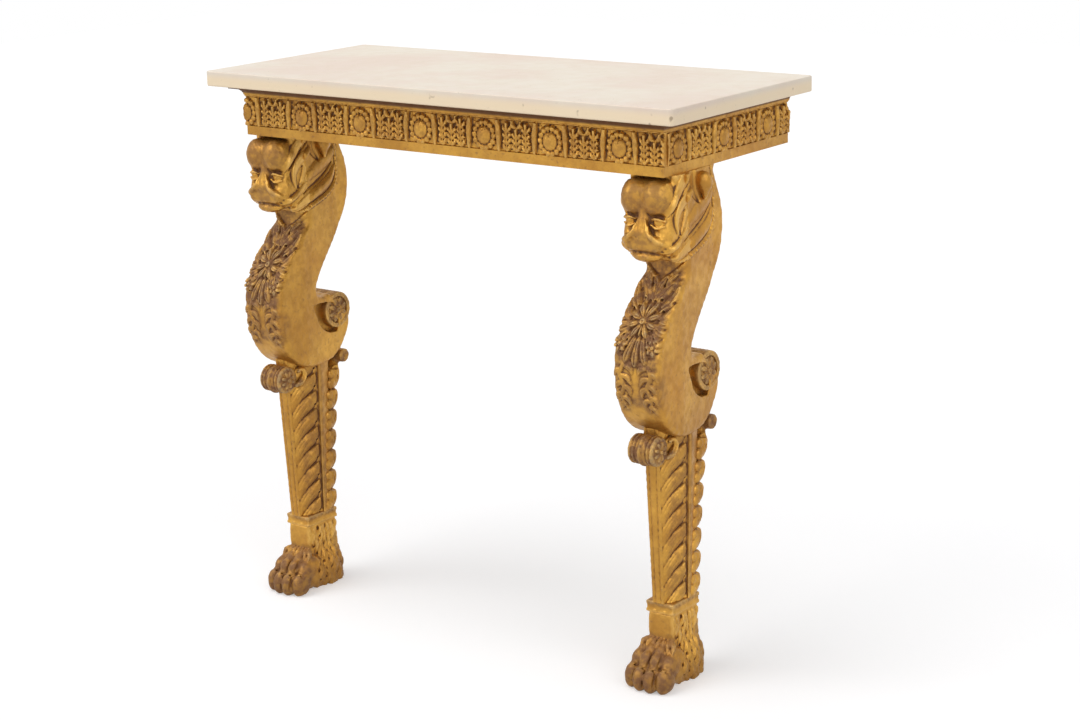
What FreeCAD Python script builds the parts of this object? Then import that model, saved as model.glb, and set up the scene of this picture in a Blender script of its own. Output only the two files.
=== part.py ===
"""Pier table: a marble slab on a carved frame that fixes to the wall, with two lion legs in front.

Millimetres. X runs along the wall, +Y points to the wall, +Z up. The origin is on the floor under
the middle of the slab. Each solid is written to parts/NODE.step.
"""
import FreeCAD, Part
import os
from math import cos, pi, sin

Vector = FreeCAD.Vector

# ---- Slab ------------------------------------------------------------------------------------
TABLE_H = 850.0
TABLE_W = 857.0
TABLE_D = 370.0
SLAB_T = 23.0
SLAB_CORNER_R = 7.0
SLAB_EDGE_R = 2.0
SIDE_OVERHANG = 23.5
FRONT_OVERHANG = 24.0

# ---- Frame: rails, and the mouldings glued to their outer faces ------------------------------
RAIL_T = 16.0
CORNICE_H = 16.0
CORNICE_OUT = 16.5
CORNICE_LIP_H = 5.5
CORNICE_STEP = 2.5
CARVING_H = 48.0
CARVING_T = 9.0
CARVING_SWELL = 2.5
BASE_H = 14.0
BASE_SET_IN = 2.0
BOSS_R = 15.0
BOSS_OUT = 3.0
BOSS_PITCH = 117.0
BOSS_SHIFT = 22.5
BOSS_FROM_CORNER = 36.5
BRACE_W = 40.0
BRACE_T = 24.0

# ---- Blocks, screws and wall fixing ------------------------------------------------------------
LEG_BLOCK_W = 50.0
BACK_BLOCK_W = 36.0
BLOCK_DROP = 2.0
SCREW_R = 2.25
SCREW_HEAD_R = 4.5
SCREW_HEAD_H = 3.0
SCREW_BITE = 10.0
SCREW_LEVELS = (0.2, 0.4, 0.6, 0.8)
SCREW_SIDE = 0.30
WALL_HOLE_R = 3.2
WALL_HOLE_SPACING = 480.0
PLATE_W = 60.0
PLATE_H = 30.0
PLATE_T = 3.0
PLATE_SCREW_R = 1.75
PLATE_SCREW_HEAD_R = 3.5
PLATE_SCREW_HEAD_H = 1.8
PLATE_SCREW_L = 13.0
PLATE_SCREW_IN = 8.0

# ---- Legs: heights up from the floor, and down from the underside of the frame ---------------
LEG_SIDE_IN = 35.0
LEG_FRONT_IN = 37.0
PAW_H = 106.0
COLLAR_H = 17.0
UPPER_H = 377.0
HEAD_H = 122.0

# ---- Legs: widths and depths (a half width is measured from the leg's middle plane) ----------
TOE_HALF_W = 40.0
TOE_FRONT = 59.0
TOE_H = 56.0
TOE_COUNT = 4
HEEL_HALF_W = 36.0
HEEL_BACK = 80.0
ANKLE_HALF_W = 21.0
ANKLE_FRONT = 5.0
ANKLE_BACK = 60.0
COLLAR_OUT = 2.5
STRIP_HALF_W = 10.0
STRIP_FRONT = 12.0
STRIP_TOP_HALF_W = 13.0
STRIP_TOP_FRONT = 27.0
PANEL_HALF_W = 27.0
PANEL_TOP_HALF_W = 33.0
PANEL_BACK = 32.0
SHAFT_BACK_HALF_W = 20.0
SHAFT_TOP_BACK_HALF_W = 24.0
SHAFT_CUP_H = 28.0
SHAFT_BACK = 52.0
SHAFT_TOP_BACK = 60.0
LEAF_HALF_W = 28.0
LEAF_T = 8.0
LEAF_LOBE = 5.0
LEAF_LOBES = 7
CURL_R = 11.0
CURL_BACK = 95.0
CURL_RISE = 1.0
LEAF_FLARE = 34.0
FRONT_SCROLL_R = 21.5
FRONT_SCROLL_HALF_W = 21.0
FRONT_SCROLL_FRONT = 33.0
FRONT_SCROLL_DROP = 12.0
REAR_SCROLL_R = 29.0
REAR_SCROLL_HALF_W = 28.0
REAR_SCROLL_BACK = 84.0
REAR_SCROLL_RISE = 80.0
ROSETTE_SHARE = 0.72
ROSETTE_T = 3.0
CHEST_HALF_W = 38.0
CHEST_FRONT = 63.0
NAPE_HALF_W = 28.0
NECK_BACK = 123.0
THROAT_FRONT = -12.0
VOLUTE_WEB_HALF_W = 18.0
HEAD_HALF_W = 39.0
HEAD_FRONT = 48.0
FACE_JOINT = 16.0
EAR_H = 34.0
EAR_W = 28.0
EAR_T = 9.0
EAR_BACK = 50.0
EAR_DROP = 30.0
KNEE_DOWEL_R = 9.0
KNEE_DOWEL_HALF_L = 34.0
ANKLE_DOWEL_R = 8.0
ANKLE_DOWEL_HALF_L = 38.0
HEAD_DOWEL_R = 8.0
HEAD_DOWEL_HALF_L = 36.0

# ---- Places worked out from the sizes above ----------------------------------------------------
SLAB_BOTTOM = TABLE_H - SLAB_T
FRAME_H = CORNICE_H + CARVING_H + BASE_H
FRAME_BOTTOM = SLAB_BOTTOM - FRAME_H
WALL_Y = TABLE_D / 2
FACE_X = TABLE_W / 2 - SIDE_OVERHANG - CORNICE_OUT
FACE_Y = -TABLE_D / 2 + FRONT_OVERHANG + CORNICE_OUT
RAIL_X = FACE_X - CARVING_T
RAIL_Y = FACE_Y + CARVING_T
LEG_X = FACE_X - LEG_SIDE_IN
LEG_Y = FACE_Y + LEG_FRONT_IN
COLLAR_TOP = PAW_H + COLLAR_H
BODY_BOTTOM = FRAME_BOTTOM - UPPER_H
SHAFT_TOP = BODY_BOTTOM + SHAFT_CUP_H


def box(low, high):
    """A block between two corners."""
    size = [b - a for a, b in zip(low, high)]
    return Part.makeBox(*size, Vector(*low))


def prism(points, extrusion):
    """Extrude the closed outline through points along the extrusion vector."""
    outline = Part.makePolygon([Vector(*p) for p in points] + [Vector(*points[0])])
    return Part.Face(outline).extrude(Vector(*extrusion))


def cylinder_x(radius, x_low, x_high, y, z):
    """A cylinder along X."""
    return Part.makeCylinder(radius, x_high - x_low, Vector(x_low, y, z), Vector(1, 0, 0))


def mirrored(shape):
    """The same shape on the other side of the middle plane."""
    return shape.mirror(Vector(0, 0, 0), Vector(1, 0, 0))


def write(name, *solids):
    """Write one node; a group of separate pieces goes in as a compound."""
    shape = solids[0] if len(solids) == 1 else Part.makeCompound(list(solids))
    shape.exportStep("parts/" + name + ".step")


# ---- Slab and frame ----------------------------------------------------------------------------
def marble_top():
    """The slab, with rounded corners and slightly eased edges."""
    half_w = TABLE_W / 2
    half_d = TABLE_D / 2
    slab = box((-half_w, -half_d, SLAB_BOTTOM), (half_w, half_d, TABLE_H))
    upright = [e for e in slab.Edges if abs(e.Vertexes[0].Z - e.Vertexes[1].Z) > SLAB_T / 2]
    slab = slab.makeFillet(SLAB_CORNER_R, upright)
    flat = [e for e in slab.Edges if abs(e.BoundBox.ZLength) < SLAB_EDGE_R / 2]
    return slab.makeFillet(SLAB_EDGE_R, flat)


def front_rail():
    """The rail behind the front mouldings, as long as the frame is wide."""
    return box((-RAIL_X, RAIL_Y, FRAME_BOTTOM), (RAIL_X, RAIL_Y + RAIL_T, SLAB_BOTTOM))


def right_rail():
    """The rail behind the right-hand mouldings, from the front rail to the wall."""
    return box((RAIL_X - RAIL_T, RAIL_Y + RAIL_T, FRAME_BOTTOM), (RAIL_X, WALL_Y, SLAB_BOTTOM))


def back_rail():
    """The rail against the wall, between the two side rails."""
    inner = RAIL_X - RAIL_T
    return box((-inner, WALL_Y - RAIL_T, FRAME_BOTTOM), (inner, WALL_Y, SLAB_BOTTOM))


def cross_brace():
    """The batten that carries the middle of the slab from front rail to back rail."""
    low = (-BRACE_W / 2, RAIL_Y + RAIL_T, SLAB_BOTTOM - BRACE_T)
    return box(low, (BRACE_W / 2, WALL_Y - RAIL_T, SLAB_BOTTOM))


def cornice_profile():
    """Outline (out, z) of the cornice, measured out from the rail: lip, small step and hollow."""
    out = CARVING_T + CORNICE_OUT
    lip_z = SLAB_BOTTOM - CORNICE_LIP_H
    foot_z = SLAB_BOTTOM - CORNICE_H
    hollow_top = out - CORNICE_STEP
    hollow_depth = hollow_top - CARVING_T
    hollow_height = lip_z - foot_z
    hollow = []
    for step in range(7):
        angle = pi / 2 * step / 6
        hollow.append((hollow_top - hollow_depth * sin(angle), foot_z + hollow_height * cos(angle)))
    return [(0, SLAB_BOTTOM), (out, SLAB_BOTTOM), (out, lip_z)] + hollow + [(0, foot_z)]


def carving_profile():
    """Outline (out, z) of the carved band's board, whose face swells a little."""
    low = FRAME_BOTTOM + BASE_H
    high = low + CARVING_H
    face = []
    for step in range(7):
        share = step / 6
        swell = CARVING_SWELL * sin(pi * share)
        face.append((CARVING_T - CARVING_SWELL + swell, low + CARVING_H * share))
    return [(0, low)] + face + [(0, high)]


def base_profile():
    """Outline (out, z) of the plain fillet along the bottom of the frame."""
    out = CARVING_T - BASE_SET_IN
    top = FRAME_BOTTOM + BASE_H
    return [(0, FRAME_BOTTOM), (out, FRAME_BOTTOM), (out, top), (0, top)]


def front_moulding(profile):
    """Run a profile along the front rail and mitre both ends."""
    reach = RAIL_X + CARVING_T + CORNICE_OUT
    run = prism([(-reach, RAIL_Y - out, z) for out, z in profile], (2 * reach, 0, 0))
    outer = RAIL_Y - (reach - RAIL_X)
    mitre = [(-RAIL_X, RAIL_Y, 0), (-reach, outer, 0), (reach, outer, 0), (RAIL_X, RAIL_Y, 0)]
    return run.common(prism(mitre, (0, 0, TABLE_H)))


def right_moulding(profile):
    """Run a profile along the right rail, mitred in front and square at the wall."""
    reach = RAIL_X + CARVING_T + CORNICE_OUT
    outer = RAIL_Y - (reach - RAIL_X)
    run = prism([(RAIL_X + out, outer, z) for out, z in profile], (0, WALL_Y - outer, 0))
    mitre = [(RAIL_X, RAIL_Y, 0), (reach, outer, 0), (reach, WALL_Y, 0), (RAIL_X, WALL_Y, 0)]
    return run.common(prism(mitre, (0, 0, TABLE_H)))


def front_boss_places():
    """Places across the front band: one pitch apart, set off the middle as the carver left them."""
    count = int((RAIL_X - BOSS_R) // BOSS_PITCH)
    places = [BOSS_SHIFT + BOSS_PITCH * (i + 0.5) for i in range(-count, count)]
    return [x for x in places if abs(x) < RAIL_X - BOSS_R]


def side_boss_places():
    """Places along a side band, from the front corner towards the wall."""
    first = FACE_Y + BOSS_FROM_CORNER
    count = int((WALL_Y - BOSS_R - first) // BOSS_PITCH) + 1
    return [first + BOSS_PITCH * i for i in range(count)]


def boss(x, y, direction):
    """One low round boss of the carving, domed along the given direction."""
    z = FRAME_BOTTOM + BASE_H + CARVING_H / 2
    dome_r = (BOSS_R ** 2 + BOSS_OUT ** 2) / (2 * BOSS_OUT)
    centre = Vector(x, y, z) - direction * (dome_r - BOSS_OUT)
    dome = Part.makeSphere(dome_r, centre)
    keep = Part.makeCylinder(BOSS_R, BOSS_OUT + CARVING_SWELL, Vector(x, y, z), direction)
    root = Part.makeCylinder(BOSS_R, CARVING_T / 2, Vector(x, y, z) - direction * CARVING_T / 2, direction)
    return dome.common(keep).fuse(root)


def front_carving():
    """The front carved band with its row of bosses."""
    band = front_moulding(carving_profile())
    for x in front_boss_places():
        band = band.fuse(boss(x, FACE_Y, Vector(0, -1, 0)))
    return band.removeSplitter()


def right_carving():
    """The right-hand carved band with its row of bosses."""
    band = right_moulding(carving_profile())
    for y in side_boss_places():
        band = band.fuse(boss(FACE_X, y, Vector(1, 0, 0)))
    return band.removeSplitter()


# ---- Blocks and screws -------------------------------------------------------------------------
def screw(point, direction, radius, head_r, head_h, length):
    """A countersunk wood screw with its head flush at point, running along direction."""
    shank = Part.makeCylinder(radius, length, point, direction)
    head = Part.makeCone(head_r, radius, head_h, point, direction)
    return shank.fuse(head).removeSplitter()


def block_box(front):
    """Low and high corner of the right-hand front or back corner block."""
    width = LEG_BLOCK_W if front else BACK_BLOCK_W
    x = RAIL_X - RAIL_T
    y = RAIL_Y + RAIL_T if front else WALL_Y - RAIL_T - width
    return (x - width, y, FRAME_BOTTOM), (x, y + width, SLAB_BOTTOM - BLOCK_DROP)


def block_screw_lines(front):
    """Start and direction of the four screws that hold a right-hand corner block to its rails."""
    low, high = block_box(front)
    width = high[0] - low[0]
    x_mid = (low[0] + high[0]) / 2
    y_mid = (low[1] + high[1]) / 2
    levels = [low[2] + (high[2] - low[2]) * share for share in SCREW_LEVELS]
    side = width * SCREW_SIDE
    y_start = high[1] if front else low[1]
    along_y = Vector(0, -1 if front else 1, 0)
    along_x = Vector(1, 0, 0)
    return [
        (Vector(x_mid - side, y_start, levels[0]), along_y),
        (Vector(x_mid + side, y_start, levels[2]), along_y),
        (Vector(low[0], y_mid - side, levels[1]), along_x),
        (Vector(low[0], y_mid + side, levels[3]), along_x),
    ]


def block_screws(front):
    """The four screws of one right-hand corner block."""
    low, high = block_box(front)
    length = high[0] - low[0] + SCREW_BITE
    sizes = (SCREW_R, SCREW_HEAD_R, SCREW_HEAD_H, length)
    return [screw(start, line, *sizes) for start, line in block_screw_lines(front)]


def wall_hole_points():
    """Centres of the two wall screw holes on the inner face of the back rail."""
    z = FRAME_BOTTOM + FRAME_H / 2
    half = WALL_HOLE_SPACING / 2
    return [Vector(x, WALL_Y - RAIL_T, z) for x in (-half, half)]


def plate_screws_at(point):
    """The two small screws that hold one wall plate to the back rail."""
    offset = PLATE_W / 2 - PLATE_SCREW_IN
    sizes = (PLATE_SCREW_R, PLATE_SCREW_HEAD_R, PLATE_SCREW_HEAD_H, PLATE_SCREW_L)
    start = point - Vector(0, PLATE_T, 0)
    return [screw(start + Vector(dx, 0, 0), Vector(0, 1, 0), *sizes) for dx in (-offset, offset)]


def wall_plate(point):
    """A flat iron plate inside the back rail that spreads the pull of its wall screw."""
    low = (point.x - PLATE_W / 2, point.y - PLATE_T, point.z - PLATE_H / 2)
    plate = box(low, (point.x + PLATE_W / 2, point.y, point.z + PLATE_H / 2))
    hole = Part.makeCylinder(WALL_HOLE_R, PLATE_T, point - Vector(0, PLATE_T, 0), Vector(0, 1, 0))
    return plate.cut(hole)


def cut_all(shape, tools):
    """Cut every tool out of a shape."""
    for tool in tools:
        shape = shape.cut(tool)
    return shape


# ---- One leg, about its own middle plane: x across, y back from the leg line, z up -------------
def oval(z, front, back, half_w, power=3.0, count=20):
    """A level closed curve between front and back; a higher power is squarer."""
    middle = (back - front) / 2
    depth = (back + front) / 2
    points = []
    for i in range(count):
        angle = 2 * pi * (i + 0.5) / count
        c, s = cos(angle), sin(angle)
        x = half_w * abs(c) ** (2 / power) * (1 if c > 0 else -1)
        y = middle + depth * abs(s) ** (2 / power) * (1 if s > 0 else -1)
        points.append(Vector(x, y, z))
    curve = Part.BSplineCurve()
    curve.interpolate(Points=points, PeriodicFlag=True)
    return Part.Wire(curve.toShape())


def loft(sections):
    """A smooth solid through level closed curves."""
    return Part.makeLoft(sections, True, False)


def paw():
    """Lion's paw: rounded toes in front of a heel that narrows to the ankle."""
    instep = TOE_FRONT * 0.25
    shin_back = (HEEL_BACK + ANKLE_BACK) / 2
    shin_half_w = (HEEL_HALF_W + ANKLE_HALF_W) / 2
    foot = loft([
        oval(0, instep, HEEL_BACK * 0.92, HEEL_HALF_W * 0.90),
        oval(PAW_H * 0.20, instep, HEEL_BACK, HEEL_HALF_W),
        oval(PAW_H * 0.40, instep, HEEL_BACK * 0.95, HEEL_HALF_W * 0.98),
        oval(PAW_H * 0.66, ANKLE_FRONT, shin_back, shin_half_w, 4),
        oval(PAW_H, ANKLE_FRONT, ANKLE_BACK, ANKLE_HALF_W, 5),
    ])
    toe_w = 2 * TOE_HALF_W / (TOE_COUNT + 0.25)
    for i in range(TOE_COUNT):
        aside = i - (TOE_COUNT - 1) / 2
        reach = TOE_FRONT * (1 - 0.085 * aside ** 2)
        toe = loft([
            oval(0, reach * 0.94, instep, toe_w * 0.55, 2.6),
            oval(TOE_H * 0.30, reach, instep, toe_w * 0.62, 2.6),
            oval(TOE_H * 0.70, reach * 0.74, instep, toe_w * 0.58, 2.6),
            oval(TOE_H, reach * 0.32, instep, toe_w * 0.36, 2.6),
        ])
        foot = foot.fuse(toe.translated(Vector(aside * toe_w, 0, 0)))
    return foot.removeSplitter()


def collar():
    """The square band above the ankle, with a set-in strip around its middle."""
    def ring(z_low, z_high, out):
        low = (-ANKLE_HALF_W - out, -ANKLE_FRONT - out, z_low)
        return box(low, (ANKLE_HALF_W + out, ANKLE_BACK + out, z_high))

    bead = COLLAR_H / 4
    band = ring(PAW_H, PAW_H + bead, COLLAR_OUT)
    band = band.fuse(ring(PAW_H + bead, COLLAR_TOP - bead, COLLAR_OUT / 2))
    return band.fuse(ring(COLLAR_TOP - bead, COLLAR_TOP, COLLAR_OUT)).removeSplitter()


def shaft_section(z):
    """Six-sided outline of the tapered shaft at height z, between collar and top."""
    share = (z - COLLAR_TOP) / (SHAFT_TOP - COLLAR_TOP)

    def mix(low, high):
        return low + (high - low) * share

    strip = mix(STRIP_HALF_W, STRIP_TOP_HALF_W)
    front = -mix(STRIP_FRONT, STRIP_TOP_FRONT)
    panel = mix(PANEL_HALF_W, PANEL_TOP_HALF_W)
    rear = mix(SHAFT_BACK_HALF_W, SHAFT_TOP_BACK_HALF_W)
    back = mix(SHAFT_BACK, SHAFT_TOP_BACK)
    half = [(strip, front), (panel, PANEL_BACK), (rear, back)]
    points = [Vector(x, y, z) for x, y in half] + [Vector(-x, y, z) for x, y in reversed(half)]
    return Part.makePolygon(points + [points[0]])


def shaft():
    """The tapered shaft: a narrow front strip, two splayed side panels and a flat back."""
    return Part.makeLoft([shaft_section(COLLAR_TOP), shaft_section(SHAFT_TOP)], True, True)


def back_leaf():
    """The scalloped leaf up the back of the shaft, which ends in a small curl."""
    rise = SHAFT_TOP - COLLAR_TOP
    lean = (SHAFT_TOP_BACK - SHAFT_BACK) / rise
    lobe_h = rise / (LEAF_LOBES + 0.5)
    back_edge = []
    for lobe in range(LEAF_LOBES):
        for step in range(4):
            share = step / 4
            z = COLLAR_TOP + lobe_h * (lobe + share)
            flare = LEAF_FLARE * ((z - COLLAR_TOP) / rise) ** 3
            out = LEAF_T + LEAF_LOBE * sin(pi * share) + flare
            back_edge.append((0, SHAFT_BACK + lean * (z - COLLAR_TOP) + out, z))
    curl_z = BODY_BOTTOM + CURL_RISE
    top = (0, CURL_BACK, curl_z - CURL_R / 2)
    outline = [(0, SHAFT_BACK, COLLAR_TOP)] + back_edge + [top, (0, SHAFT_TOP_BACK, SHAFT_TOP)]
    half_w = LEAF_HALF_W
    leaf = prism([(-half_w, y, z) for x, y, z in outline], (2 * half_w, 0, 0))
    curl = cylinder_x(CURL_R, -half_w, half_w, CURL_BACK, curl_z)
    return leaf.fuse(curl).removeSplitter()


def scroll_outline():
    """Side view of the body as a closed wire: front, top, nape, waist, roll's bed and bulb."""
    scroll_z = BODY_BOTTOM + REAR_SCROLL_RISE
    ledge_z = scroll_z + REAR_SCROLL_R
    # Share of the height from the knee to the frame, share of the chest's forward reach.
    chest = [(0.03, 0.32), (0.07, 0.57), (0.13, 0.80), (0.20, 0.93), (0.26, 0.97), (0.33, 1.00),
             (0.39, 0.91), (0.45, 0.66), (0.50, 0.43), (0.54, 0.15), (0.58, -0.06), (0.63, -0.19)]
    # Share of the same height, share of the neck's reach to the back.
    nape = [(1.00, 0.80), (0.93, 0.88), (0.86, 0.96), (0.80, 1.00), (0.75, 1.00), (0.69, 0.97),
            (0.63, 0.91), (0.56, 0.77), (0.50, 0.61), (0.43, 0.44), (0.38, 0.31), (0.34, 0.25)]
    front = [Vector(0, -CHEST_FRONT * reach, BODY_BOTTOM + UPPER_H * share) for share, reach in chest]
    rear = [Vector(0, NECK_BACK * reach, BODY_BOTTOM + UPPER_H * share) for share, reach in nape]
    foot = Vector(0, NECK_BACK * 0.30, BODY_BOTTOM)
    throat = Vector(0, -THROAT_FRONT, FRAME_BOTTOM)
    waist = Vector(0, NECK_BACK * 0.37, ledge_z)
    ledge = Vector(0, REAR_SCROLL_BACK - REAR_SCROLL_R * 0.6, ledge_z)
    bed = Vector(0, REAR_SCROLL_BACK, scroll_z)
    rim = Vector(0, REAR_SCROLL_BACK + REAR_SCROLL_R * 0.93, scroll_z - REAR_SCROLL_R * 0.48)
    bulb = [rim] + [Vector(0, NECK_BACK * reach, BODY_BOTTOM + REAR_SCROLL_RISE * rise)
                    for reach, rise in ((0.85, 0.46), (0.75, 0.24), (0.55, 0.06))] + [foot]

    def smooth(points):
        curve = Part.BSplineCurve()
        curve.interpolate(Points=points)
        return curve.toShape()

    return Part.Wire([
        smooth([foot] + front), Part.makeLine(front[-1], throat), Part.makeLine(throat, rear[0]),
        smooth(rear), Part.makeLine(rear[-1], waist), Part.makeLine(waist, ledge),
        Part.makeLine(ledge, bed), Part.makeLine(bed, rim), smooth(bulb),
    ])


def volute_hollow():
    """The deep hollow in front of and under the roll, cut from the right-hand side."""
    scroll_z = BODY_BOTTOM + REAR_SCROLL_RISE
    start = pi * 0.88
    turn = pi * 0.60
    steps = 8
    widest = REAR_SCROLL_R * 2.15
    narrowest = REAR_SCROLL_R * 1.10
    core = REAR_SCROLL_R * 0.5
    spiral = []
    for step in range(steps):
        share = step / (steps - 1)
        spiral.append((start + turn * share, widest + (narrowest - widest) * share))
    outline = []
    for angle, far in spiral + [(start + turn, core), (start, core)]:
        y = REAR_SCROLL_BACK + far * cos(angle)
        outline.append((VOLUTE_WEB_HALF_W, y, scroll_z + far * sin(angle)))
    return prism(outline, (CHEST_HALF_W, 0, 0))


def scroll_body():
    """The S-shaped body: its side view, made narrower to the back, with a bed for the roll."""
    profile = Part.Face(scroll_outline()).translated(Vector(-CHEST_HALF_W, 0, 0))
    block = profile.extrude(Vector(2 * CHEST_HALF_W, 0, 0))
    spare = 1
    taper_end = NECK_BACK * 0.78
    half = [(CHEST_HALF_W, -CHEST_FRONT - spare), (CHEST_HALF_W, 0),
            (NAPE_HALF_W, taper_end), (NAPE_HALF_W, NECK_BACK + spare)]
    plan = half + [(-x, y) for x, y in reversed(half)]
    block = block.common(prism([(x, y, BODY_BOTTOM) for x, y in plan], (0, 0, UPPER_H)))
    hollow = volute_hollow()
    return cut_all(block, [rear_roll(CHEST_HALF_W), hollow, mirrored(hollow)])


def rear_roll(half_w):
    """The round of the roll behind the bulb, to a half width."""
    return cylinder_x(REAR_SCROLL_R, -half_w, half_w, REAR_SCROLL_BACK, BODY_BOTTOM + REAR_SCROLL_RISE)


def front_scroll():
    """The small roll under the front of the bulb."""
    half_w = FRONT_SCROLL_HALF_W
    z = BODY_BOTTOM - FRONT_SCROLL_DROP
    return cylinder_x(FRONT_SCROLL_R, -half_w, half_w, -FRONT_SCROLL_FRONT, z)


def rosettes(radius, half_w, y, z):
    """A domed rosette on each end of a roll."""
    pair = []
    for side in (-1, 1):
        base = Vector(side * half_w, y, z)
        rim = radius * ROSETTE_SHARE
        cone = Part.makeCone(rim, rim * 0.6, ROSETTE_T, base, Vector(side, 0, 0))
        pair.append(cone)
    return pair


def lion_head():
    """The head: chin, flat muzzle, eyes set back under a bulging forehead, glued to the neck."""
    rows = [
        # share of the height, of the forward reach and of the half width
        (0.00, 0.30, 0.60), (0.06, 0.60, 0.80), (0.18, 0.86, 0.95), (0.32, 0.88, 0.98),
        (0.50, 0.80, 1.00), (0.62, 0.97, 1.00), (0.78, 1.00, 0.98), (0.90, 0.85, 0.92), (1.00, 0.52, 0.80),
    ]
    z0 = FRAME_BOTTOM - HEAD_H
    return loft([oval(z0 + HEAD_H * share, HEAD_FRONT * reach, FACE_JOINT, HEAD_HALF_W * width, 4)
                 for share, reach, width in rows])


def ears(neck):
    """A leaf-shaped ear on each side of the neck, cut to lie on it."""
    plan = Part.Ellipse(Vector(0, 0, 0), EAR_H / 2, EAR_W / 2).toShape()
    ear = Part.Face(Part.Wire(plan)).extrude(Vector(0, 0, CHEST_HALF_W / 2 + EAR_T))
    ear.rotate(Vector(0, 0, 0), Vector(0, 1, 0), 90)
    ear.translate(Vector(CHEST_HALF_W / 2, EAR_BACK, FRAME_BOTTOM - EAR_DROP))
    return [piece.cut(neck) for piece in (ear, mirrored(ear))]


def upright_dowel(radius, half_l, y, z, x=0.0):
    """A dowel that stands across a level joint at height z."""
    return Part.makeCylinder(radius, 2 * half_l, Vector(x, y, z - half_l))


def leg_pieces(side):
    """Every piece of one leg, by name, in the leg's own place; side is -1 left or 1 right."""
    body = scroll_body()
    block_low, block_high = block_box(True)
    dowel_x = side * ((block_low[0] + block_high[0]) / 2 - LEG_X)
    dowel_y = (block_low[1] + block_high[1]) / 2 - LEG_Y
    middle = (ANKLE_BACK - ANKLE_FRONT) / 2
    knee = upright_dowel(KNEE_DOWEL_R, KNEE_DOWEL_HALF_L, middle, BODY_BOTTOM)
    ankle = upright_dowel(ANKLE_DOWEL_R, ANKLE_DOWEL_HALF_L, middle, (PAW_H + COLLAR_TOP) / 2)
    head = upright_dowel(HEAD_DOWEL_R, HEAD_DOWEL_HALF_L, dowel_y, FRAME_BOTTOM, dowel_x)
    stem = shaft().cut(body).cut(knee).cut(ankle)
    leaf = back_leaf().cut(body)
    console = front_scroll().cut(body).cut(stem)
    rear_z = BODY_BOTTOM + REAR_SCROLL_RISE
    front_z = BODY_BOTTOM - FRONT_SCROLL_DROP
    discs = rosettes(REAR_SCROLL_R, REAR_SCROLL_HALF_W, REAR_SCROLL_BACK, rear_z)
    discs += rosettes(FRONT_SCROLL_R, FRONT_SCROLL_HALF_W, -FRONT_SCROLL_FRONT, front_z)
    discs = [disc.cut(body) for disc in discs]
    return {
        "paw": [paw().cut(ankle)],
        "collar": [collar().cut(ankle)],
        "shaft": [stem],
        "back_leaf": [leaf],
        "front_scroll": [console],
        "rear_scroll": [rear_roll(REAR_SCROLL_HALF_W)],
        "rosettes": discs,
        "scroll_body": [body.cut(knee).cut(head)],
        "lion_head": [lion_head().cut(body).cut(head)],
        "ears": ears(body),
        "ankle_dowel": [ankle],
        "knee_dowel": [knee],
        "head_dowel": [head],
    }


# ---- Build -------------------------------------------------------------------------------------
def build_frame():
    """Write the slab, the rails, the mouldings, the blocks and the fixings."""
    screws = {front: block_screws(front) for front in (True, False)}
    dowel = upright_dowel(HEAD_DOWEL_R, HEAD_DOWEL_HALF_L, 0, FRAME_BOTTOM)
    write("marble_top", marble_top())
    right_screws = screws[True] + screws[False]
    all_screws = right_screws + [mirrored(s) for s in right_screws]
    points = wall_hole_points()
    small_screws = [s for point in points for s in plate_screws_at(point)]
    wall_holes = [Part.makeCylinder(WALL_HOLE_R, RAIL_T, p, Vector(0, 1, 0)) for p in points]
    side = cut_all(right_rail(), right_screws)
    write("front_rail", cut_all(front_rail(), all_screws))
    write("side_rail_right", side)
    write("side_rail_left", mirrored(side))
    write("back_rail", cut_all(back_rail(), all_screws + wall_holes + small_screws))
    write("cross_brace", cross_brace())
    for name, profile in (("cornice", cornice_profile()), ("base_fillet", base_profile())):
        right = right_moulding(profile)
        write(name + "_front", front_moulding(profile))
        write(name + "_right", right)
        write(name + "_left", mirrored(right))
    carving = right_carving()
    write("frieze_carving_front", front_carving())
    write("frieze_carving_right", carving)
    write("frieze_carving_left", mirrored(carving))
    for front, name in ((True, "leg_block"), (False, "back_block")):
        low, high = block_box(front)
        block = cut_all(box(low, high), screws[front])
        if front:
            middle = Vector((low[0] + high[0]) / 2, (low[1] + high[1]) / 2, 0)
            block = block.cut(dowel.translated(middle))
        write(name + "_right", block)
        write(name + "_left", mirrored(block))
    write("block_screws", *all_screws)
    write("wall_plates", *[cut_all(wall_plate(p), small_screws) for p in points])
    write("plate_screws", *small_screws)


def build_legs():
    """Write both legs piece by piece."""
    for side, word in ((-1, "left"), (1, "right")):
        place = Vector(side * LEG_X, LEG_Y, 0)
        for name, solids in leg_pieces(side).items():
            write(word + "_" + name, *[solid.translated(place) for solid in solids])


os.makedirs("parts", exist_ok=True)
build_frame()
build_legs()
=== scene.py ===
"""Dress the pier table: carved and gilded legs and frame, and a marble slab on top."""
import logging
from collections.abc import Callable, Sequence
from dataclasses import dataclass
from enum import Enum
from math import cos, pi, radians, sin

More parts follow.
